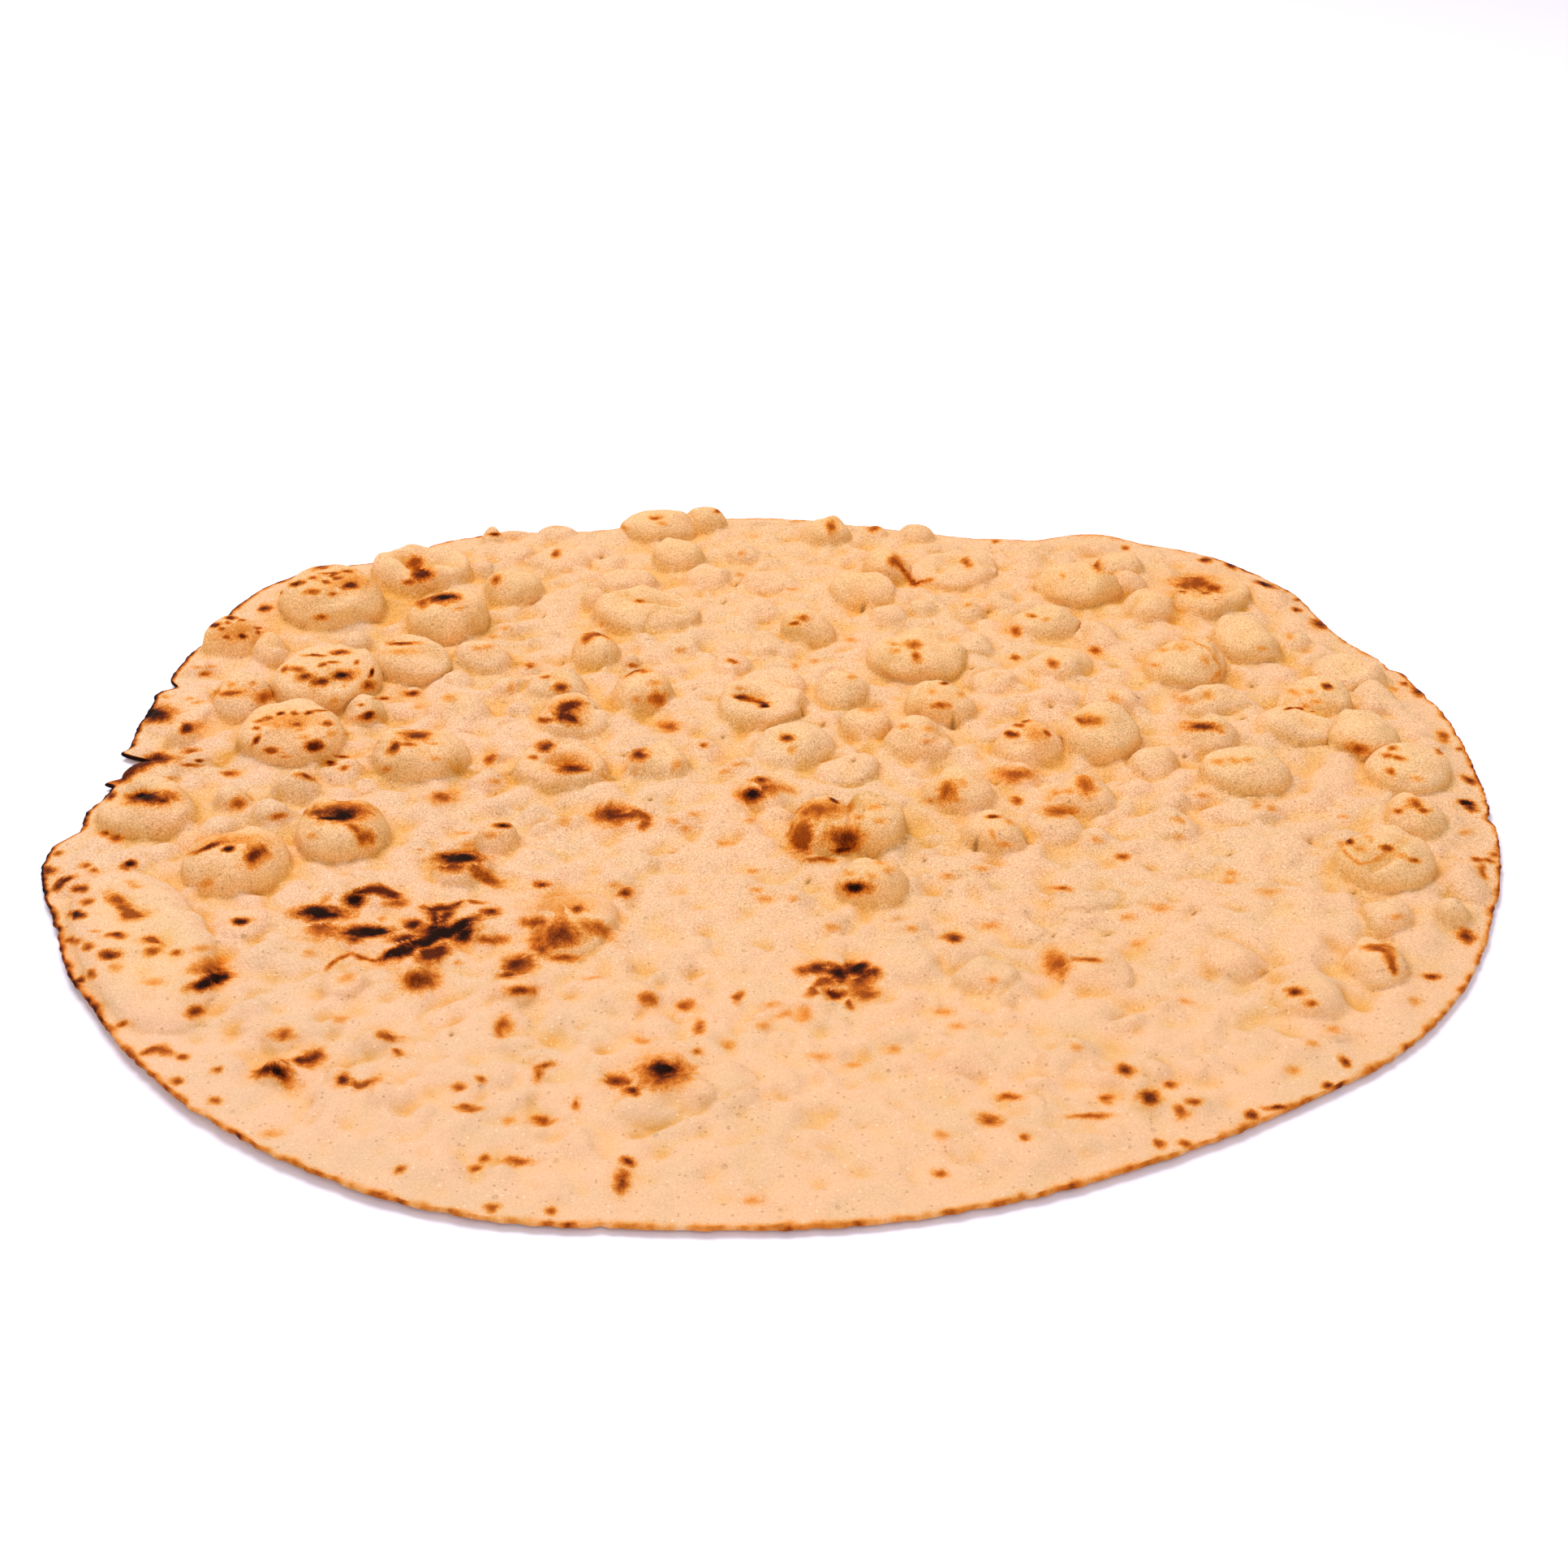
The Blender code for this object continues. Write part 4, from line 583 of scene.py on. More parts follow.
def in_ellipse(x, y, ellipse):
    """Place within an ellipse, along and across it, as fractions of its half-length and half-width."""
    _, ex, ey, length, width, turn = ellipse
    return (((x - ex) * np.cos(turn) + (y - ey) * np.sin(turn)) / length,
            ((y - ey) * np.cos(turn) - (x - ex) * np.sin(turn)) / width)


def marks_on_faces(x, y, z, faces):
    """For each corner of each face, its place in the two marks that count most on that face, and how
    brown they are: two rows of (along, across, browning), so that a mark's outline stays exact
    within a face. A mark counts only on the side of the blister on which it lies."""
    seen_x, seen_y = apparent(x, y, z)
    for seed, (wavelength, width) in enumerate(MARK_WAVER):
        seen_x = seen_x + width * ripple(x, y, wavelength, 80 + seed)
        seen_y = seen_y + width * ripple(x, y, wavelength, 90 + seed)
    middle = [values[faces].mean(axis=1) for values in (x, y, z, seen_x, seen_y)]
    lies = np.array(landing(marks[:, 1], marks[:, 2], x, y, z))
    strongest, which = np.zeros((2, len(faces))), np.full((2, len(faces)), len(marks))
    for k, mark in enumerate(marks):
        size = max(mark[3], mark[4])
        near = np.nonzero(
            np.hypot(middle[3] - mark[1], middle[4] - mark[2]) < SEARCH * size + FACE_SIZE)[0]
        away = np.hypot(*in_ellipse(middle[3][near], middle[4][near], mark))
        apart = np.sqrt(sum((middle[axis][near] - lies[axis, k]) ** 2 for axis in range(3)))
        strength = mark[0] * np.maximum(MARK_REACH - away, 0.0)
        strength = np.where(apart < size + DEPTH_OF_REACH, strength, 0.0)
        first, second = strongest[0, near], strongest[1, near]
        wins, places = strength > first, (strength > second) & (strength <= first)
        strongest[1, near] = np.where(wins, first, np.where(places, strength, second))
        which[1, near] = np.where(wins, which[0, near], np.where(places, k, which[1, near]))
        strongest[0, near] = np.where(wins, strength, first)
        which[0, near] = np.where(wins, k, which[0, near])
    listed = np.vstack((marks, NO_MARK))
    rows = []
    for choice in which:
        chosen = [column[:, None] for column in listed[choice].T]
        along, across = in_ellipse(seen_x[faces], seen_y[faces], chosen)
        rows.append(np.stack((along, across, np.broadcast_to(chosen[0], along.shape)), axis=-1))
    return rows


# --- The bread in one skin ------------------------------------------------------------------------
# Upper crust, rounded rim and flat underside are one closed skin. The underside took the oven floor's
# heat evenly, and the rim, thin and near the fire, is brown all round and black where it is thinnest.

SQUARES = 304                    # squares along each side of the upper grid
RIM_RINGS = 6                    # its outermost rings turn over the rim
UNDER_SQUARES = SQUARES // 4     # and of the lower one
RIM_RAGGED = ((9.0, 0.030), (3.3, 0.030), (1.0, 0.036))    # wavelength in degrees, height
ROUND = 26.0                     # the circle round which the rim's unevenness is laid out
UNDER_INSET = 1.4                # how many noses inside the rim the underside ends
UNDER_RISE = 1.7                 # the width of its band that rises to the rim
DIMPLE_HEIGHT = 0.02             # the dimples left in it by the oven floor
SKIN_RELIEF = ((1.5, 0.022), (0.75, 0.012))    # the unevenness of the blisters' skin: wavelength, height
SKIN_SWELL = 0.05                # and how unevenly they have risen, as a fraction


def disc_grid(squares):
    """A square grid bent to a disc: each square ring becomes a round one, its points at even bearings.
    Gives the ring of each point, 0 at the middle and 1 outside, and its bearing in degrees."""
    side = np.linspace(-1.0, 1.0, squares + 1)
    a, b = (grid.ravel() for grid in np.meshgrid(side, side, indexing='xy'))
    ring = np.maximum(np.abs(a), np.abs(b))
    level = np.abs(a) >= np.abs(b)
    with np.errstate(divide='ignore', invalid='ignore'):
        bearing = np.where(level, 45.0 * b / a + np.where(a < 0.0, 180.0, 0.0),
                           90.0 - 45.0 * a / b + np.where(b < 0.0, 180.0, 0.0))
    return ring, np.where(ring > 0.0, bearing, 0.0) % 360.0


def border(squares):
    """The numbers of the grid's outer points in order, anticlockwise from the lower left corner."""
    n = squares + 1
    k = np.arange(squares)
    return np.concatenate((k, k * n + squares, n * n - 1 - k, (squares - k) * n))


def quads(squares):
    """The grid's squares as rows of four point numbers, anticlockwise."""
    n = squares + 1
    corner = (np.arange(squares)[:, None] * n + np.arange(squares)[None, :]).ravel()
    return np.stack((corner, corner + 1, corner + n + 1, corner + n), axis=1)


# The upper crust: rings up to the rim's shoulder, spread and lifted by the blisters.
ring, bearing = disc_grid(SQUARES)
angle = np.radians(bearing)
last_flat = 1.0 - RIM_RINGS / (SQUARES / 2)
round_x, round_y = ROUND * np.cos(angle), ROUND * np.sin(angle)
ragged = sum(high * ripple(round_x, round_y, ROUND * math.radians(long), 40 + k)
             for k, (long, high) in enumerate(RIM_RAGGED))
radius = rim_radius(bearing) + ragged * smooth_step(0.90, 1.0, ring)
out = np.minimum(ring / last_flat, 1.0) * (radius - NOSE)
x = RIM_MIDDLE[0] + out * np.cos(angle)
y = RIM_MIDDLE[1] + out * np.sin(angle)
lifted, slide_x, slide_y = blow_up(x, y)
shoulder = smooth_step(0.0, 0.5, radius - NOSE - out)
x, y = x + slide_x * shoulder, y + slide_y * shoulder
skin = sum(high * ripple(x, y, long, 60 + k) for k, (long, high) in enumerate(SKIN_RELIEF))
z = sheet_height(x, y) + lifted * shoulder * (1.0 + SKIN_SWELL * ripple(x, y, 2.4, 62))
z += skin * smooth_step(0.2, 0.8, lifted)
z -= pressed_in(x, y)
holes_x, holes_y, _ = landing(*np.array(DOCKING_HOLES).T, x, y, z)
pit = np.zeros_like(x)
for hx, hy in zip(holes_x, holes_y):
    pit = np.maximum(pit, np.exp(-((x - hx) ** 2 + (y - hy) ** 2) / HOLE_RADIUS ** 2))
z -= HOLE_DEPTH * pit

# The rim: the last rings follow a half round from its shoulder to its lower edge.
over = np.clip((ring - last_flat) / (1.0 - last_flat), 0.0, 1.0)
rim_angle = math.pi * (0.5 - over)
half = 0.5 * RIM_THICKNESS * (1.0 + 0.14 * ripple(round_x, round_y, 2.2, 50))
rim_x = RIM_MIDDLE[0] + (radius - NOSE * (1.0 - np.cos(rim_angle))) * np.cos(angle)
rim_y = RIM_MIDDLE[1] + (radius - NOSE * (1.0 - np.cos(rim_angle))) * np.sin(angle)
rim_z = rim_lift(bearing) + half * (1.0 + np.sin(rim_angle))
on_rim = over > 0.0
x, y, z = np.where(on_rim, rim_x, x), np.where(on_rim, rim_y, y), np.where(on_rim, rim_z, z)
top_count = len(x)

# The underside: flat on the floor, rising to the rim's lower edge.
under_ring, under_bearing = disc_grid(UNDER_SQUARES)
under_angle = np.radians(under_bearing)
under_radius = rim_radius(under_bearing)
under_out = under_ring * (under_radius - UNDER_INSET * NOSE)
under_x = RIM_MIDDLE[0] + under_out * np.cos(under_angle)
under_y = RIM_MIDDLE[1] + under_out * np.sin(under_angle)
from_rim = under_radius - under_out
under_z = rim_lift(under_bearing) * np.clip(1.0 - from_rim / UNDER_RISE, 0.0, 1.0) ** 1.3
dimples = np.clip(ripple(under_x, under_y, 1.1, 70), 0.0, 1.0)
under_z += DIMPLE_HEIGHT * dimples * smooth_step(0.3, 1.0, from_rim)

# One list of faces: upper grid, underside turned over, and the band that joins their borders, four
# edges of the upper one to each edge of the lower one.
upper, lower = border(SQUARES), border(UNDER_SQUARES) + top_count
m = np.arange(len(lower))
u0, u1, u2, u3, u4 = (upper[(4 * m + k) % len(upper)] for k in range(5))
low_here, low_there = lower[m], lower[(m + 1) % len(lower)]
band_rows = ((u0, low_here, u1), (u1, low_here, u2), (u2, low_here, low_there),
             (u2, low_there, u3), (u3, low_there, u4))
band = np.concatenate([np.stack(row, axis=1) for row in band_rows])
top_faces, under_faces = quads(SQUARES), quads(UNDER_SQUARES)[:, ::-1] + top_count
points = np.stack((np.concatenate((x, under_x)) - PLAN_MIDDLE[0],
                   np.concatenate((y, under_y)) - PLAN_MIDDLE[1],
                   np.concatenate((z, under_z))), axis=1) * CM
crust_mesh = bpy.data.meshes.new("flatbread_crust")
crust_mesh.from_pydata(points.tolist(), [], top_faces.tolist() + under_faces.tolist() + band.tolist())
crust_mesh.update()

# The rim is browned most on the very edge and in uneven bursts. Where it is burnt: bearing, half-width
# in degrees, how brown.
BURNT_RIM = (
    (0.0, 9.0, 0.22), (13.0, 7.0, 0.20), (165.0, 8.0, 0.60), (150.0, 9.0, 0.50), (177.0, 6.0, 0.60),
    (190.0, 10.0, 0.45), (40.0, 14.0, 0.25), (205.0, 14.0, 0.25), (132.0, 10.0, 0.40), (345.0, 10.0, 0.15),
)
edge_in = radius - np.hypot(x - RIM_MIDDLE[0], y - RIM_MIDDLE[1])
rim_brown = 0.40 + 0.16 * ripple(round_x, round_y, 1.6, 51) + 0.12 * ripple(round_x, round_y, 0.6, 52)
for centre, half_width, brown in BURNT_RIM:
    rim_brown += brown * np.exp(-(turned(bearing, centre) / half_width) ** 2)
rim_depth = 0.30 + 0.16 * ripple(round_x, round_y, 1.1, 53)
rim_heat = np.where(on_rim, rim_brown, rim_brown * smooth_step(np.maximum(rim_depth, 0.1), 0.0, edge_in))

# What the crust's colours follow, point by point: how far it is browned all over, how high it has
# risen, where it was pricked, and three masks of painted shade: how far it lies in a valley between
# blisters, how deep in a hollow or on a steep flank, and where it is sharply creased at a blister's foot.
SMOOTHINGS = (16, 90)            # how often the relief is smoothed to find its hollows and its valleys
HOLLOW_DEPTH = 0.26              # how far below the smoothed relief a point of a full hollow lies
VALLEY_DEPTHS = (0.02, 0.34)     # and how far below the smoother one a valley starts and is full
FLANK_SLOPES = (0.12, 0.80)      # one less the upright share of the slope, where a flank starts and is full
CREASE_DEPTH = 0.040             # how far below its four neighbours a point of a full crease lies
level = z.reshape(SQUARES + 1, SQUARES + 1)
smoothed, spread_out = [], level.copy()
for step in range(max(SMOOTHINGS)):
    for axis in (0, 1):
        beside = np.roll(spread_out, 1, axis) + np.roll(spread_out, -1, axis)
        spread_out = 0.5 * spread_out + 0.25 * beside
    if step + 1 in SMOOTHINGS:
        smoothed.append(spread_out.ravel())
normals = np.zeros(3 * len(crust_mesh.vertices), dtype=np.float32)
crust_mesh.vertices.foreach_get("normal", normals)
steep = 1.0 - normals.reshape(-1, 3)[:top_count, 2]
# The painted shade: golden in hollows and on steep flanks and in the valleys between blisters, and darkest
# in the sharp creases at the blisters' feet.
hollow = np.clip((smoothed[0] - z) / HOLLOW_DEPTH, 0.0, 1.0)
shaded = np.clip(hollow + smooth_step(*FLANK_SLOPES, steep), 0.0, 1.0) * smooth_step(0.0, 0.6, edge_in)
valley_shade = smooth_step(*VALLEY_DEPTHS, smoothed[1] - z) * smooth_step(0.0, 1.0, edge_in)
around = 0.25 * sum(np.roll(level, step, axis) for step in (-1, 1) for axis in (0, 1))
crease_shade = np.clip((around - level) / CREASE_DEPTH - 0.25, 0.0, 1.0)
crease_shade = 0.4 * crease_shade + 0.15 * sum(np.roll(crease_shade, step, axis) for step in (-1, 1) for axis in (0, 1))
crease_shade = crease_shade.ravel() * smooth_step(0.0, 0.6, edge_in)
under_heat = 0.17 + 0.09 * ripple(under_x, under_y, 2.6, 71) + 0.07 * ripple(under_x, under_y, 0.9, 72)
none_below = np.zeros_like(under_x)
risen = np.clip(lifted, 0.0, 2.0) * shoulder
for name, upper_values, under_values in (
        ("browned", rim_heat, under_heat), ("risen", risen, none_below), ("valley_shade", valley_shade, none_below),
        ("shaded", shaded, none_below), ("crease_shade", crease_shade, none_below), ("pricked", pit, none_below)):
    values = np.concatenate((upper_values, under_values)).astype(np.float32)
    crust_mesh.attributes.new(name, 'FLOAT', 'POINT').data.foreach_set("value", values)
OUTSIDE = (9.0, 9.0, 0.0)        # for the corners of the underside and the band, which have no marks
blank = np.tile(OUTSIDE, (4 * len(under_faces) + 3 * len(band), 1))
for name, corner_values in zip(("first_mark", "second_mark"), marks_on_faces(x, y, z, top_faces)):
    values = np.concatenate((corner_values.reshape(-1, 3), blank)).astype(np.float32)
    crust_mesh.attributes.new(name, 'FLOAT_VECTOR', 'CORNER').data.foreach_set("vector", values.ravel())


def cells(squares):
    """The column and the row of each of the grid's squares."""
    return [grid.ravel() for grid in np.meshgrid(np.arange(squares), np.arange(squares), indexing='xy')]


# The picture layout: the upper grid as the square it is drawn on, above; the underside in four
# quarters, side by side, below; the band in a thin strip between them.
corners = np.array(((0, 0), (1, 0), (1, 1), (0, 1)))
top_uv = np.stack(cells(SQUARES), axis=1)[:, None, :] + corners[None, :, :]
top_uv = np.array((0.004, 0.204)) + top_uv / SQUARES * np.array((0.992, 0.792))
column, row = cells(UNDER_SQUARES)
quarter = UNDER_SQUARES // 2
under_uv = np.stack((column % quarter, row % quarter), axis=1)[:, None, :] + corners[None, ::-1, :]
under_uv = under_uv / quarter * np.array((0.24, 0.184)) + np.array((0.005, 0.004))
under_uv[:, :, 0] += (column // quarter + 2 * (row // quarter))[:, None] * 0.2475
share = 0.992 / len(lower)
left, low, high = 0.004 + m * share, np.full(len(m), 0.192), np.full(len(m), 0.200)
along = [left + 0.25 * k * share for k in range(5)]
band_uv = np.concatenate([np.stack(corner, axis=1).reshape(-1, 3, 2) for corner in (
    (along[0], high, left, low, along[1], high), (along[1], high, left, low, along[2], high),
    (along[2], high, left, low, left + share, low), (along[2], high, left + share, low, along[3], high),
    (along[3], high, left + share, low, along[4], high))])
layout = crust_mesh.uv_layers.new(name="OFBake")
layout.data.foreach_set("uv", np.concatenate(
    (top_uv.reshape(-1), under_uv.reshape(-1), band_uv.reshape(-1))).astype(np.float32))
crust_mesh.polygons.foreach_set("use_smooth", np.ones(len(crust_mesh.polygons), dtype=bool))

flatbread = bpy.data.objects.new("flatbread", crust_mesh)
bpy.context.scene.collection.objects.link(flatbread)

# --- The crust's colour and feel ------------------------------------------------------------------
# Baked bran dough is matt and floury, peach to straw in colour, with brown bran specks and pale flour,
# a fine open grain and tiny pores. Heat darkens it along one scale, from straw to charcoal.

crust = bpy.data.materials.new("bran_crust")
crust.use_nodes = True
tree = crust.node_tree
shader = tree.nodes["Principled BSDF"]


def place(kind, into=None, **settings):
    """Adds a node of that kind; each setting is one of its own properties."""
    node = (into or tree).nodes.new(kind)
    for name, value in settings.items():
        setattr(node, name, value)
    return node


def plug(value, socket, into=None):
    """Sets a socket to a number or a colour, or links another node's output to it."""
    if isinstance(value, bpy.types.NodeSocket):
        (into or tree).links.new(value, socket)
    else:
        socket.default_value = value


def sum_up(operation, first, second=0.0, third=0.0, into=None, clamp=False):
    """One step of arithmetic."""
    node = place("ShaderNodeMath", into, operation=operation, use_clamp=clamp)
    for socket, value in zip(node.inputs, (first, second, third)):
        plug(value, socket, into)
    return node.outputs[0]


def between(low, high, value):
    """0 where value is below low, 1 where it is above high, and smooth between them."""
    node = place("ShaderNodeMapRange", interpolation_type='SMOOTHSTEP')
    for socket, number in zip(node.inputs, (value, low, high, 0.0, 1.0)):
        plug(number, socket)
    return node.outputs[0]


def blend(share, under, over, how='MIX'):
    """Lays one colour over another by a share."""
    node = place("ShaderNodeMix", data_type='RGBA', blend_type=how)
    for index, value in ((0, share), (6, under), (7, over)):
        plug(value, node.inputs[index])
    return node.outputs[2]


def speckle(into, where, scale, detail=2.0, roughness=0.6):
    """Cloudy noise with that many cells to a metre."""
    node = place("ShaderNodeTexNoise", into)
    plug(where, node.inputs["Vector"], into)
    for name, value in (("Scale", scale), ("Detail", detail), ("Roughness", roughness)):
        node.inputs[name].default_value = value
    return node.outputs[0]


def dots(into, where, scale, share, size):
    """A mask of round dots: one in each share of the cells of a scattered grid, of that size."""
    scattered = place("ShaderNodeTexVoronoi", into, feature='F1')
    plug(where, scattered.inputs["Vector"], into)
    scattered.inputs["Scale"].default_value = scale
    split = place("ShaderNodeSeparateColor", into)
    plug(scattered.outputs["Color"], split.inputs[0], into)
    chosen = sum_up('LESS_THAN', split.outputs[0], share, into=into)
    wide = sum_up('MULTIPLY_ADD', split.outputs[1], 0.6 * size, 0.7 * size, into=into)
    away = sum_up('DIVIDE', scattered.outputs["Distance"], wide, into=into)
    dot = sum_up('SUBTRACT', 1.0, away, into=into, clamp=True)
    dot = sum_up('MULTIPLY', dot, 2.0, into=into, clamp=True)
    return sum_up('MULTIPLY', chosen, dot, into=into)


# The grain, kept as one group: bran specks, flour, pores, and the cloudy unevenness of the dough.
grain = bpy.data.node_groups.new("bran_grain", 'ShaderNodeTree')
grain.interface.new_socket("Place", in_out='INPUT', socket_type='NodeSocketVector')
for name in ("Bran", "Flour", "Pores", "Cloud", "Fine", "Ragged"):
    grain.interface.new_socket(name, in_out='OUTPUT', socket_type='NodeSocketFloat')
came_in, goes_out = place("NodeGroupInput", grain), place("NodeGroupOutput", grain)
spot = came_in.outputs["Place"]
plug(dots(grain, spot, scale=620.0, share=0.16, size=0.30), goes_out.inputs["Bran"], grain)
plug(dots(grain, spot, scale=520.0, share=0.22, size=0.24), goes_out.inputs["Flour"], grain)
plug(dots(grain, spot, scale=260.0, share=0.10, size=0.22), goes_out.inputs["Pores"], grain)
plug(speckle(grain, spot, scale=55.0, detail=4.0), goes_out.inputs["Cloud"], grain)
plug(speckle(grain, spot, scale=1700.0, detail=2.0, roughness=0.7), goes_out.inputs["Fine"], grain)
plug(speckle(grain, spot, scale=330.0, detail=2.5, roughness=0.5), goes_out.inputs["Ragged"], grain)

where = place("ShaderNodeTexCoord").outputs["Object"]
feel = place("ShaderNodeGroup", node_tree=grain)
plug(where, feel.inputs["Place"])


def carried(name):
    """A value that the mesh carries at each point."""
    return place("ShaderNodeAttribute", attribute_name=name).outputs["Fac"]


FRAY = (("Ragged", 0.62), ("Fine", 0.30))     # how far each grain frays a mark's outline
CORE_SHARE = 0.88                # how much of a mark's heat is in its core; its halo has the rest


def mark_heat(name):
    """How brown a mark makes the crust here, and how brown it is at its middle: most of it in its core,
    which fades at an outline that the grain frays, and the rest in a wider halo."""
    mark = place("ShaderNodeAttribute", attribute_name=name).outputs["Vector"]
    parts = place("ShaderNodeSeparateXYZ")
    plug(mark, parts.inputs[0])
    away = sum_up('SQRT', sum_up('MULTIPLY_ADD', parts.outputs[0], parts.outputs[0],
                                 sum_up('MULTIPLY', parts.outputs[1], parts.outputs[1])))
    for grain_name, strength in FRAY:
        away = sum_up('MULTIPLY_ADD', sum_up('SUBTRACT', feel.outputs[grain_name], 0.5), strength, away)
    core = sum_up('MULTIPLY', between(1.05, -0.05, away), CORE_SHARE)
    shape = sum_up('MULTIPLY_ADD', between(1.55, 0.55, away), 1.0 - CORE_SHARE, core)
    return sum_up('MULTIPLY', parts.outputs[2], shape), parts.outputs[2]


# Marks that touch run together, but no browner than the darker of the two.
RUN_TOGETHER = 0.3               # how much of the weaker mark's heat is added to the stronger one's
(first_heat, first_top), (second_heat, second_top) = mark_heat("first_mark"), mark_heat("second_mark")
shared, stronger = sum_up('MINIMUM', first_heat, second_heat), sum_up('MAXIMUM', first_heat, second_heat)
scorch = sum_up('MULTIPLY_ADD', shared, RUN_TOGETHER, stronger)
scorch = sum_up('MINIMUM', scorch, sum_up('MAXIMUM', first_top, second_top))
frayed_rim = sum_up('MULTIPLY_ADD', sum_up('SUBTRACT', feel.outputs["Ragged"], 0.5),
                    sum_up('MULTIPLY', carried("browned"), 1.2), carried("browned"))
scorch = sum_up('MAXIMUM', scorch, frayed_rim)
# The tops of the blisters are toasted in sparse flecks.
FLECK_HEAT = 0.26
high_up = between(0.55, 1.3, carried("risen"))
flecks = sum_up('MULTIPLY', between(0.60, 0.70, feel.outputs["Ragged"]),
                between(0.45, 0.60, feel.outputs["Cloud"]))
flecks = sum_up('MULTIPLY', sum_up('MULTIPLY', flecks, high_up), FLECK_HEAT)
scorch = sum_up('MAXIMUM', scorch, flecks, clamp=True)

# Bran, flour, and the painted shade inside a hole and in the pores; then the scale of heat, from the bare
# dough to charcoal.
BRAN_COLOUR, FLOUR_COLOUR = (0.36, 0.165, 0.065, 1.0), (0.92, 0.76, 0.58, 1.0)
HOLE_SHADE_COLOUR = (0.20, 0.095, 0.040, 1.0)
HEAT_SCALE = (
    (0.00, (0.700, 0.438, 0.240)), (0.14, (0.700, 0.400, 0.186)), (0.28, (0.665, 0.295, 0.078)),
    (0.40, (0.560, 0.185, 0.026)), (0.52, (0.420, 0.102, 0.009)), (0.66, (0.220, 0.042, 0.005)),
    (0.80, (0.080, 0.012, 0.002)), (0.92, (0.024, 0.005, 0.001)), (1.00, (0.008, 0.002, 0.001)),
)
scale = place("ShaderNodeValToRGB")
plug(scorch, scale.inputs[0])
for k, (at, colour) in enumerate(HEAT_SCALE):
    stop = scale.color_ramp.elements[k] if k < 2 else scale.color_ramp.elements.new(at)
    stop.position, stop.color = at, (*colour, 1.0)

axes = place("ShaderNodeSeparateXYZ")
plug(where, axes.inputs[0])
# Bare dough is pinker on the sheet and yellower on the blisters, where the skin is thin and dry. The far
# part is a little browner and the left a little bluer. Painted shade makes it golden in the valleys
# between blisters, in hollows and on steep flanks, and darkest in the creases at their feet. Each tint is
# the share of red, green and blue that the dough keeps where it lies.
PEACH, SANDY = (1.03, 1.00, 1.08, 1.0), (0.96, 0.985, 1.05, 1.0)
tint = blend(between(0.38, 0.64, feel.outputs["Cloud"]), PEACH, SANDY)
for share, colour in (
        (between(0.15, 0.9, carried("risen")), (1.045, 1.035, 0.905)),
        (between(0.03, 0.20, axes.outputs[1]), (0.99, 0.96, 0.89)),
        (between(0.05, -0.20, axes.outputs[0]), (0.98, 1.00, 1.08)),
        # painted shade: golden in the valleys, in hollows and on steep flanks, and darkest in the creases
        (carried("valley_shade"), (0.95, 0.865, 0.62)),
        (carried("shaded"), (1.065, 0.98, 0.62)),
        (carried("crease_shade"), (0.80, 0.61, 0.20))):
    tint = blend(share, tint, (*colour, 1.0), how='MULTIPLY')
dough = blend(1.0, scale.outputs[0], tint, how='MULTIPLY')
# The grain is coarse over the blistered part, and smooth where the sheet was stretched to its near
# edge.
SMOOTH_UNTIL, COARSE_FROM = -0.17, -0.03    # metres along Y
SMOOTHEST = 0.35                 # the share of the grain that is left at the near edge
coarse = sum_up('MULTIPLY_ADD', between(SMOOTH_UNTIL, COARSE_FROM, axes.outputs[1]),
                1.0 - SMOOTHEST, SMOOTHEST)
DARK_GRAIN, PALE_GRAIN = (0.80, 0.755, 0.685, 1.0), (1.16, 1.19, 1.245, 1.0)
sand = blend(between(0.36, 0.64, feel.outputs["Fine"]), DARK_GRAIN, PALE_GRAIN)
dough = blend(coarse, dough, sand, how='MULTIPLY')
bare = sum_up('SUBTRACT', 1.0, sum_up('MULTIPLY', scorch, 1.6), clamp=True)
bran_specks = sum_up('MULTIPLY', feel.outputs["Bran"], sum_up('MULTIPLY', bare, 0.5))
dough = blend(bran_specks, dough, BRAN_COLOUR)
flour_specks = sum_up('MULTIPLY', feel.outputs["Flour"], sum_up('MULTIPLY', bare, 0.35))
dough = blend(flour_specks, dough, FLOUR_COLOUR)
# Painted shade darkens the docking holes and the pores.
hole_shade = sum_up('MAXIMUM', between(0.45, 0.95, carried("pricked")),
                   sum_up('MULTIPLY', feel.outputs["Pores"], 0.28))
dough = blend(sum_up('MULTIPLY', hole_shade, 0.7), dough, HOLE_SHADE_COLOUR)
plug(dough, shader.inputs["Base Color"])
plug(sum_up('MULTIPLY_ADD', scorch, -0.22, 0.86), shader.inputs["Roughness"])
shader.inputs["Specular IOR Level"].default_value = 0.03

# Relief finer than the grid: grain, pores, and charred skin that has cracked a little.
relief = 0.0
for name, height in (("Fine", 0.00028), ("Ragged", 0.00032), ("Pores", -0.00035), ("Bran", 0.00010)):
    relief = sum_up('MULTIPLY_ADD', feel.outputs[name], height, relief)
relief = sum_up('MULTIPLY_ADD', speckle(tree, where, scale=140.0, detail=3.0), 0.0007, relief)
bump = place("ShaderNodeBump")
bump.inputs["Strength"].default_value = 0.8
bump.inputs["Distance"].default_value = 1.0
plug(relief, bump.inputs["Height"])
plug(bump.outputs[0], shader.inputs["Normal"])

crust_mesh.materials.append(crust)
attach(flatbread, "root")
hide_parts("bread")

# --- The studio -----------------------------------------------------------------------------------
# A pale floor, a broad soft light above and a little behind the bread, another in front of it, and a
# bright room. The camera looks down at 29 degrees from in front.

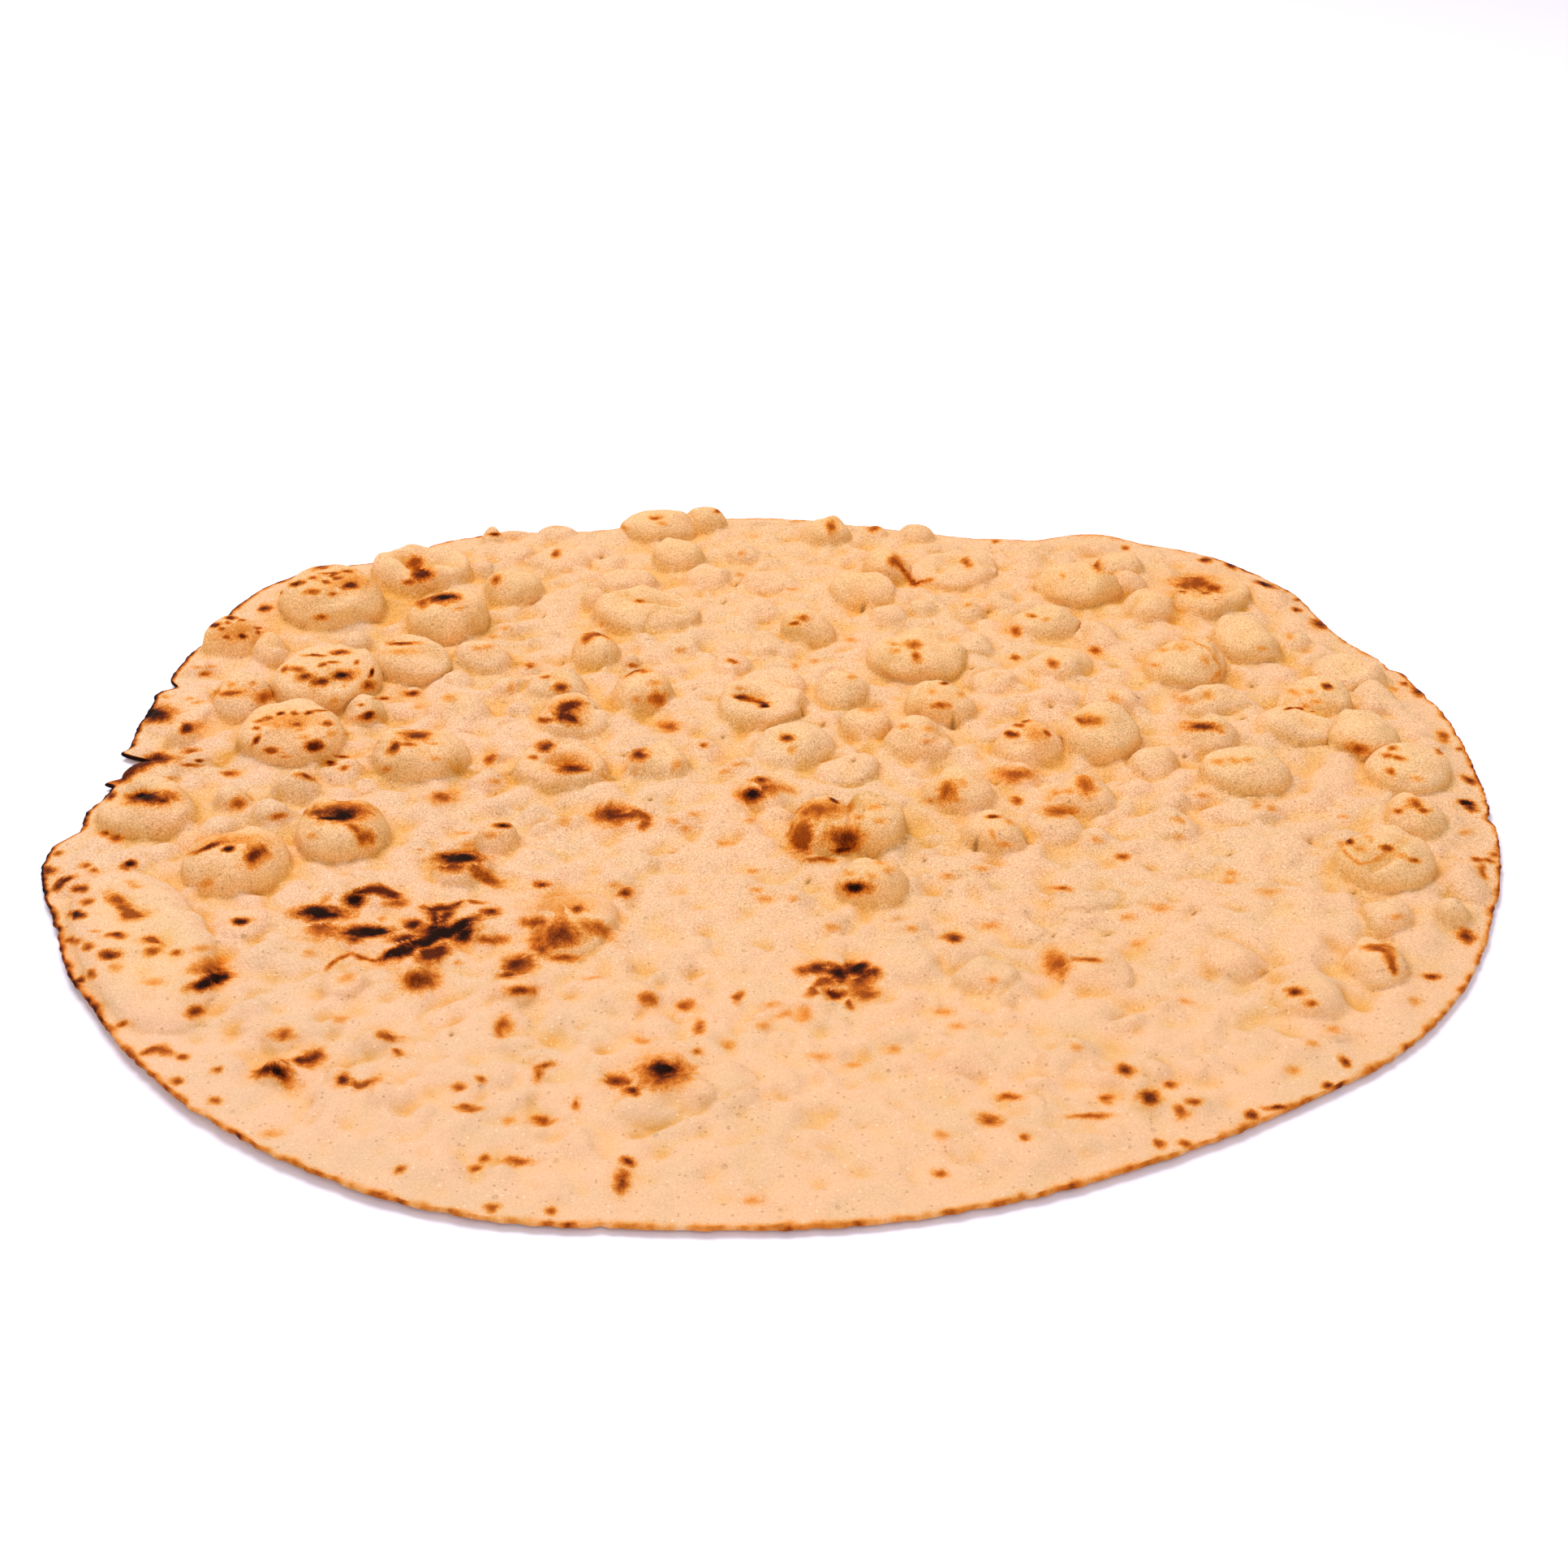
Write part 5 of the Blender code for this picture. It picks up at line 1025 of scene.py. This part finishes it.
FLOOR_REACH = 6.0                # metres to each side
FLOOR_HEIGHT = -0.0006           # just clear of the flat underside
floor_mesh = bpy.data.meshes.new("floor")
floor_mesh.from_pydata([(across * FLOOR_REACH, away * FLOOR_REACH, FLOOR_HEIGHT)
                        for across, away in ((-1, -1), (1, -1), (1, 1), (-1, 1))], [], [(0, 1, 2, 3)])
floor = bpy.data.objects.new("floor", floor_mesh)
bpy.context.scene.collection.objects.link(floor)
white = bpy.data.materials.new("white_surface")
white.use_nodes = True
for name, value in (("Base Color", (0.87, 0.86, 0.99, 1.0)), ("Roughness", 0.7),
                    ("Specular IOR Level", 0.1)):
    white.node_tree.nodes["Principled BSDF"].inputs[name].default_value = value
floor_mesh.materials.append(white)


def soft_light(name, size, strength, colour, place_at, look_at):
    """A square light of that size at one place, turned towards another."""
    lamp = bpy.data.lights.new(name, 'AREA')
    lamp.shape, lamp.size, lamp.energy, lamp.color = 'SQUARE', size, strength, colour
    light = bpy.data.objects.new(name, lamp)
    bpy.context.scene.collection.objects.link(light)
    light.location = place_at
    toward = np.subtract(look_at, place_at)
    light.rotation_euler = (math.acos(-toward[2] / np.linalg.norm(toward)), 0.0,
                            math.atan2(toward[1], toward[0]) - 0.5 * math.pi)


soft_light("roof_light", 1.0, 26.5, (0.975, 0.955, 0.965), (-0.40, 0.68, 1.50), (0.0, 0.0, 0.0))
soft_light("front_light", 1.4, 13.5, (1.0, 0.93, 0.98), (0.25, -1.5, 1.0), (0.0, 0.0, 0.0))
room = bpy.data.worlds.new("room")
room.use_nodes = True
for name, value in (("Color", (1.0, 0.96, 0.89, 1.0)), ("Strength", 0.60)):
    room.node_tree.nodes["Background"].inputs[name].default_value = value
bpy.context.scene.world = room
bpy.context.scene.view_settings.view_transform = 'Standard'

CAMERA_DISTANCE = 0.948
LOOK_DOWN = math.radians(29.0)
LOOK_AT = (0.001, 0.0111, 0.0)
lens = bpy.data.cameras.new("camera")
lens.lens, lens.sensor_width = 63.35, 36.0
camera = bpy.data.objects.new("camera", lens)
bpy.context.scene.collection.objects.link(camera)
camera.location = (LOOK_AT[0], LOOK_AT[1] - CAMERA_DISTANCE * math.cos(LOOK_DOWN),
                   CAMERA_DISTANCE * math.sin(LOOK_DOWN))
camera.rotation_euler = (math.radians(90.0) - LOOK_DOWN, 0.0, 0.0)
bpy.context.scene.camera = camera
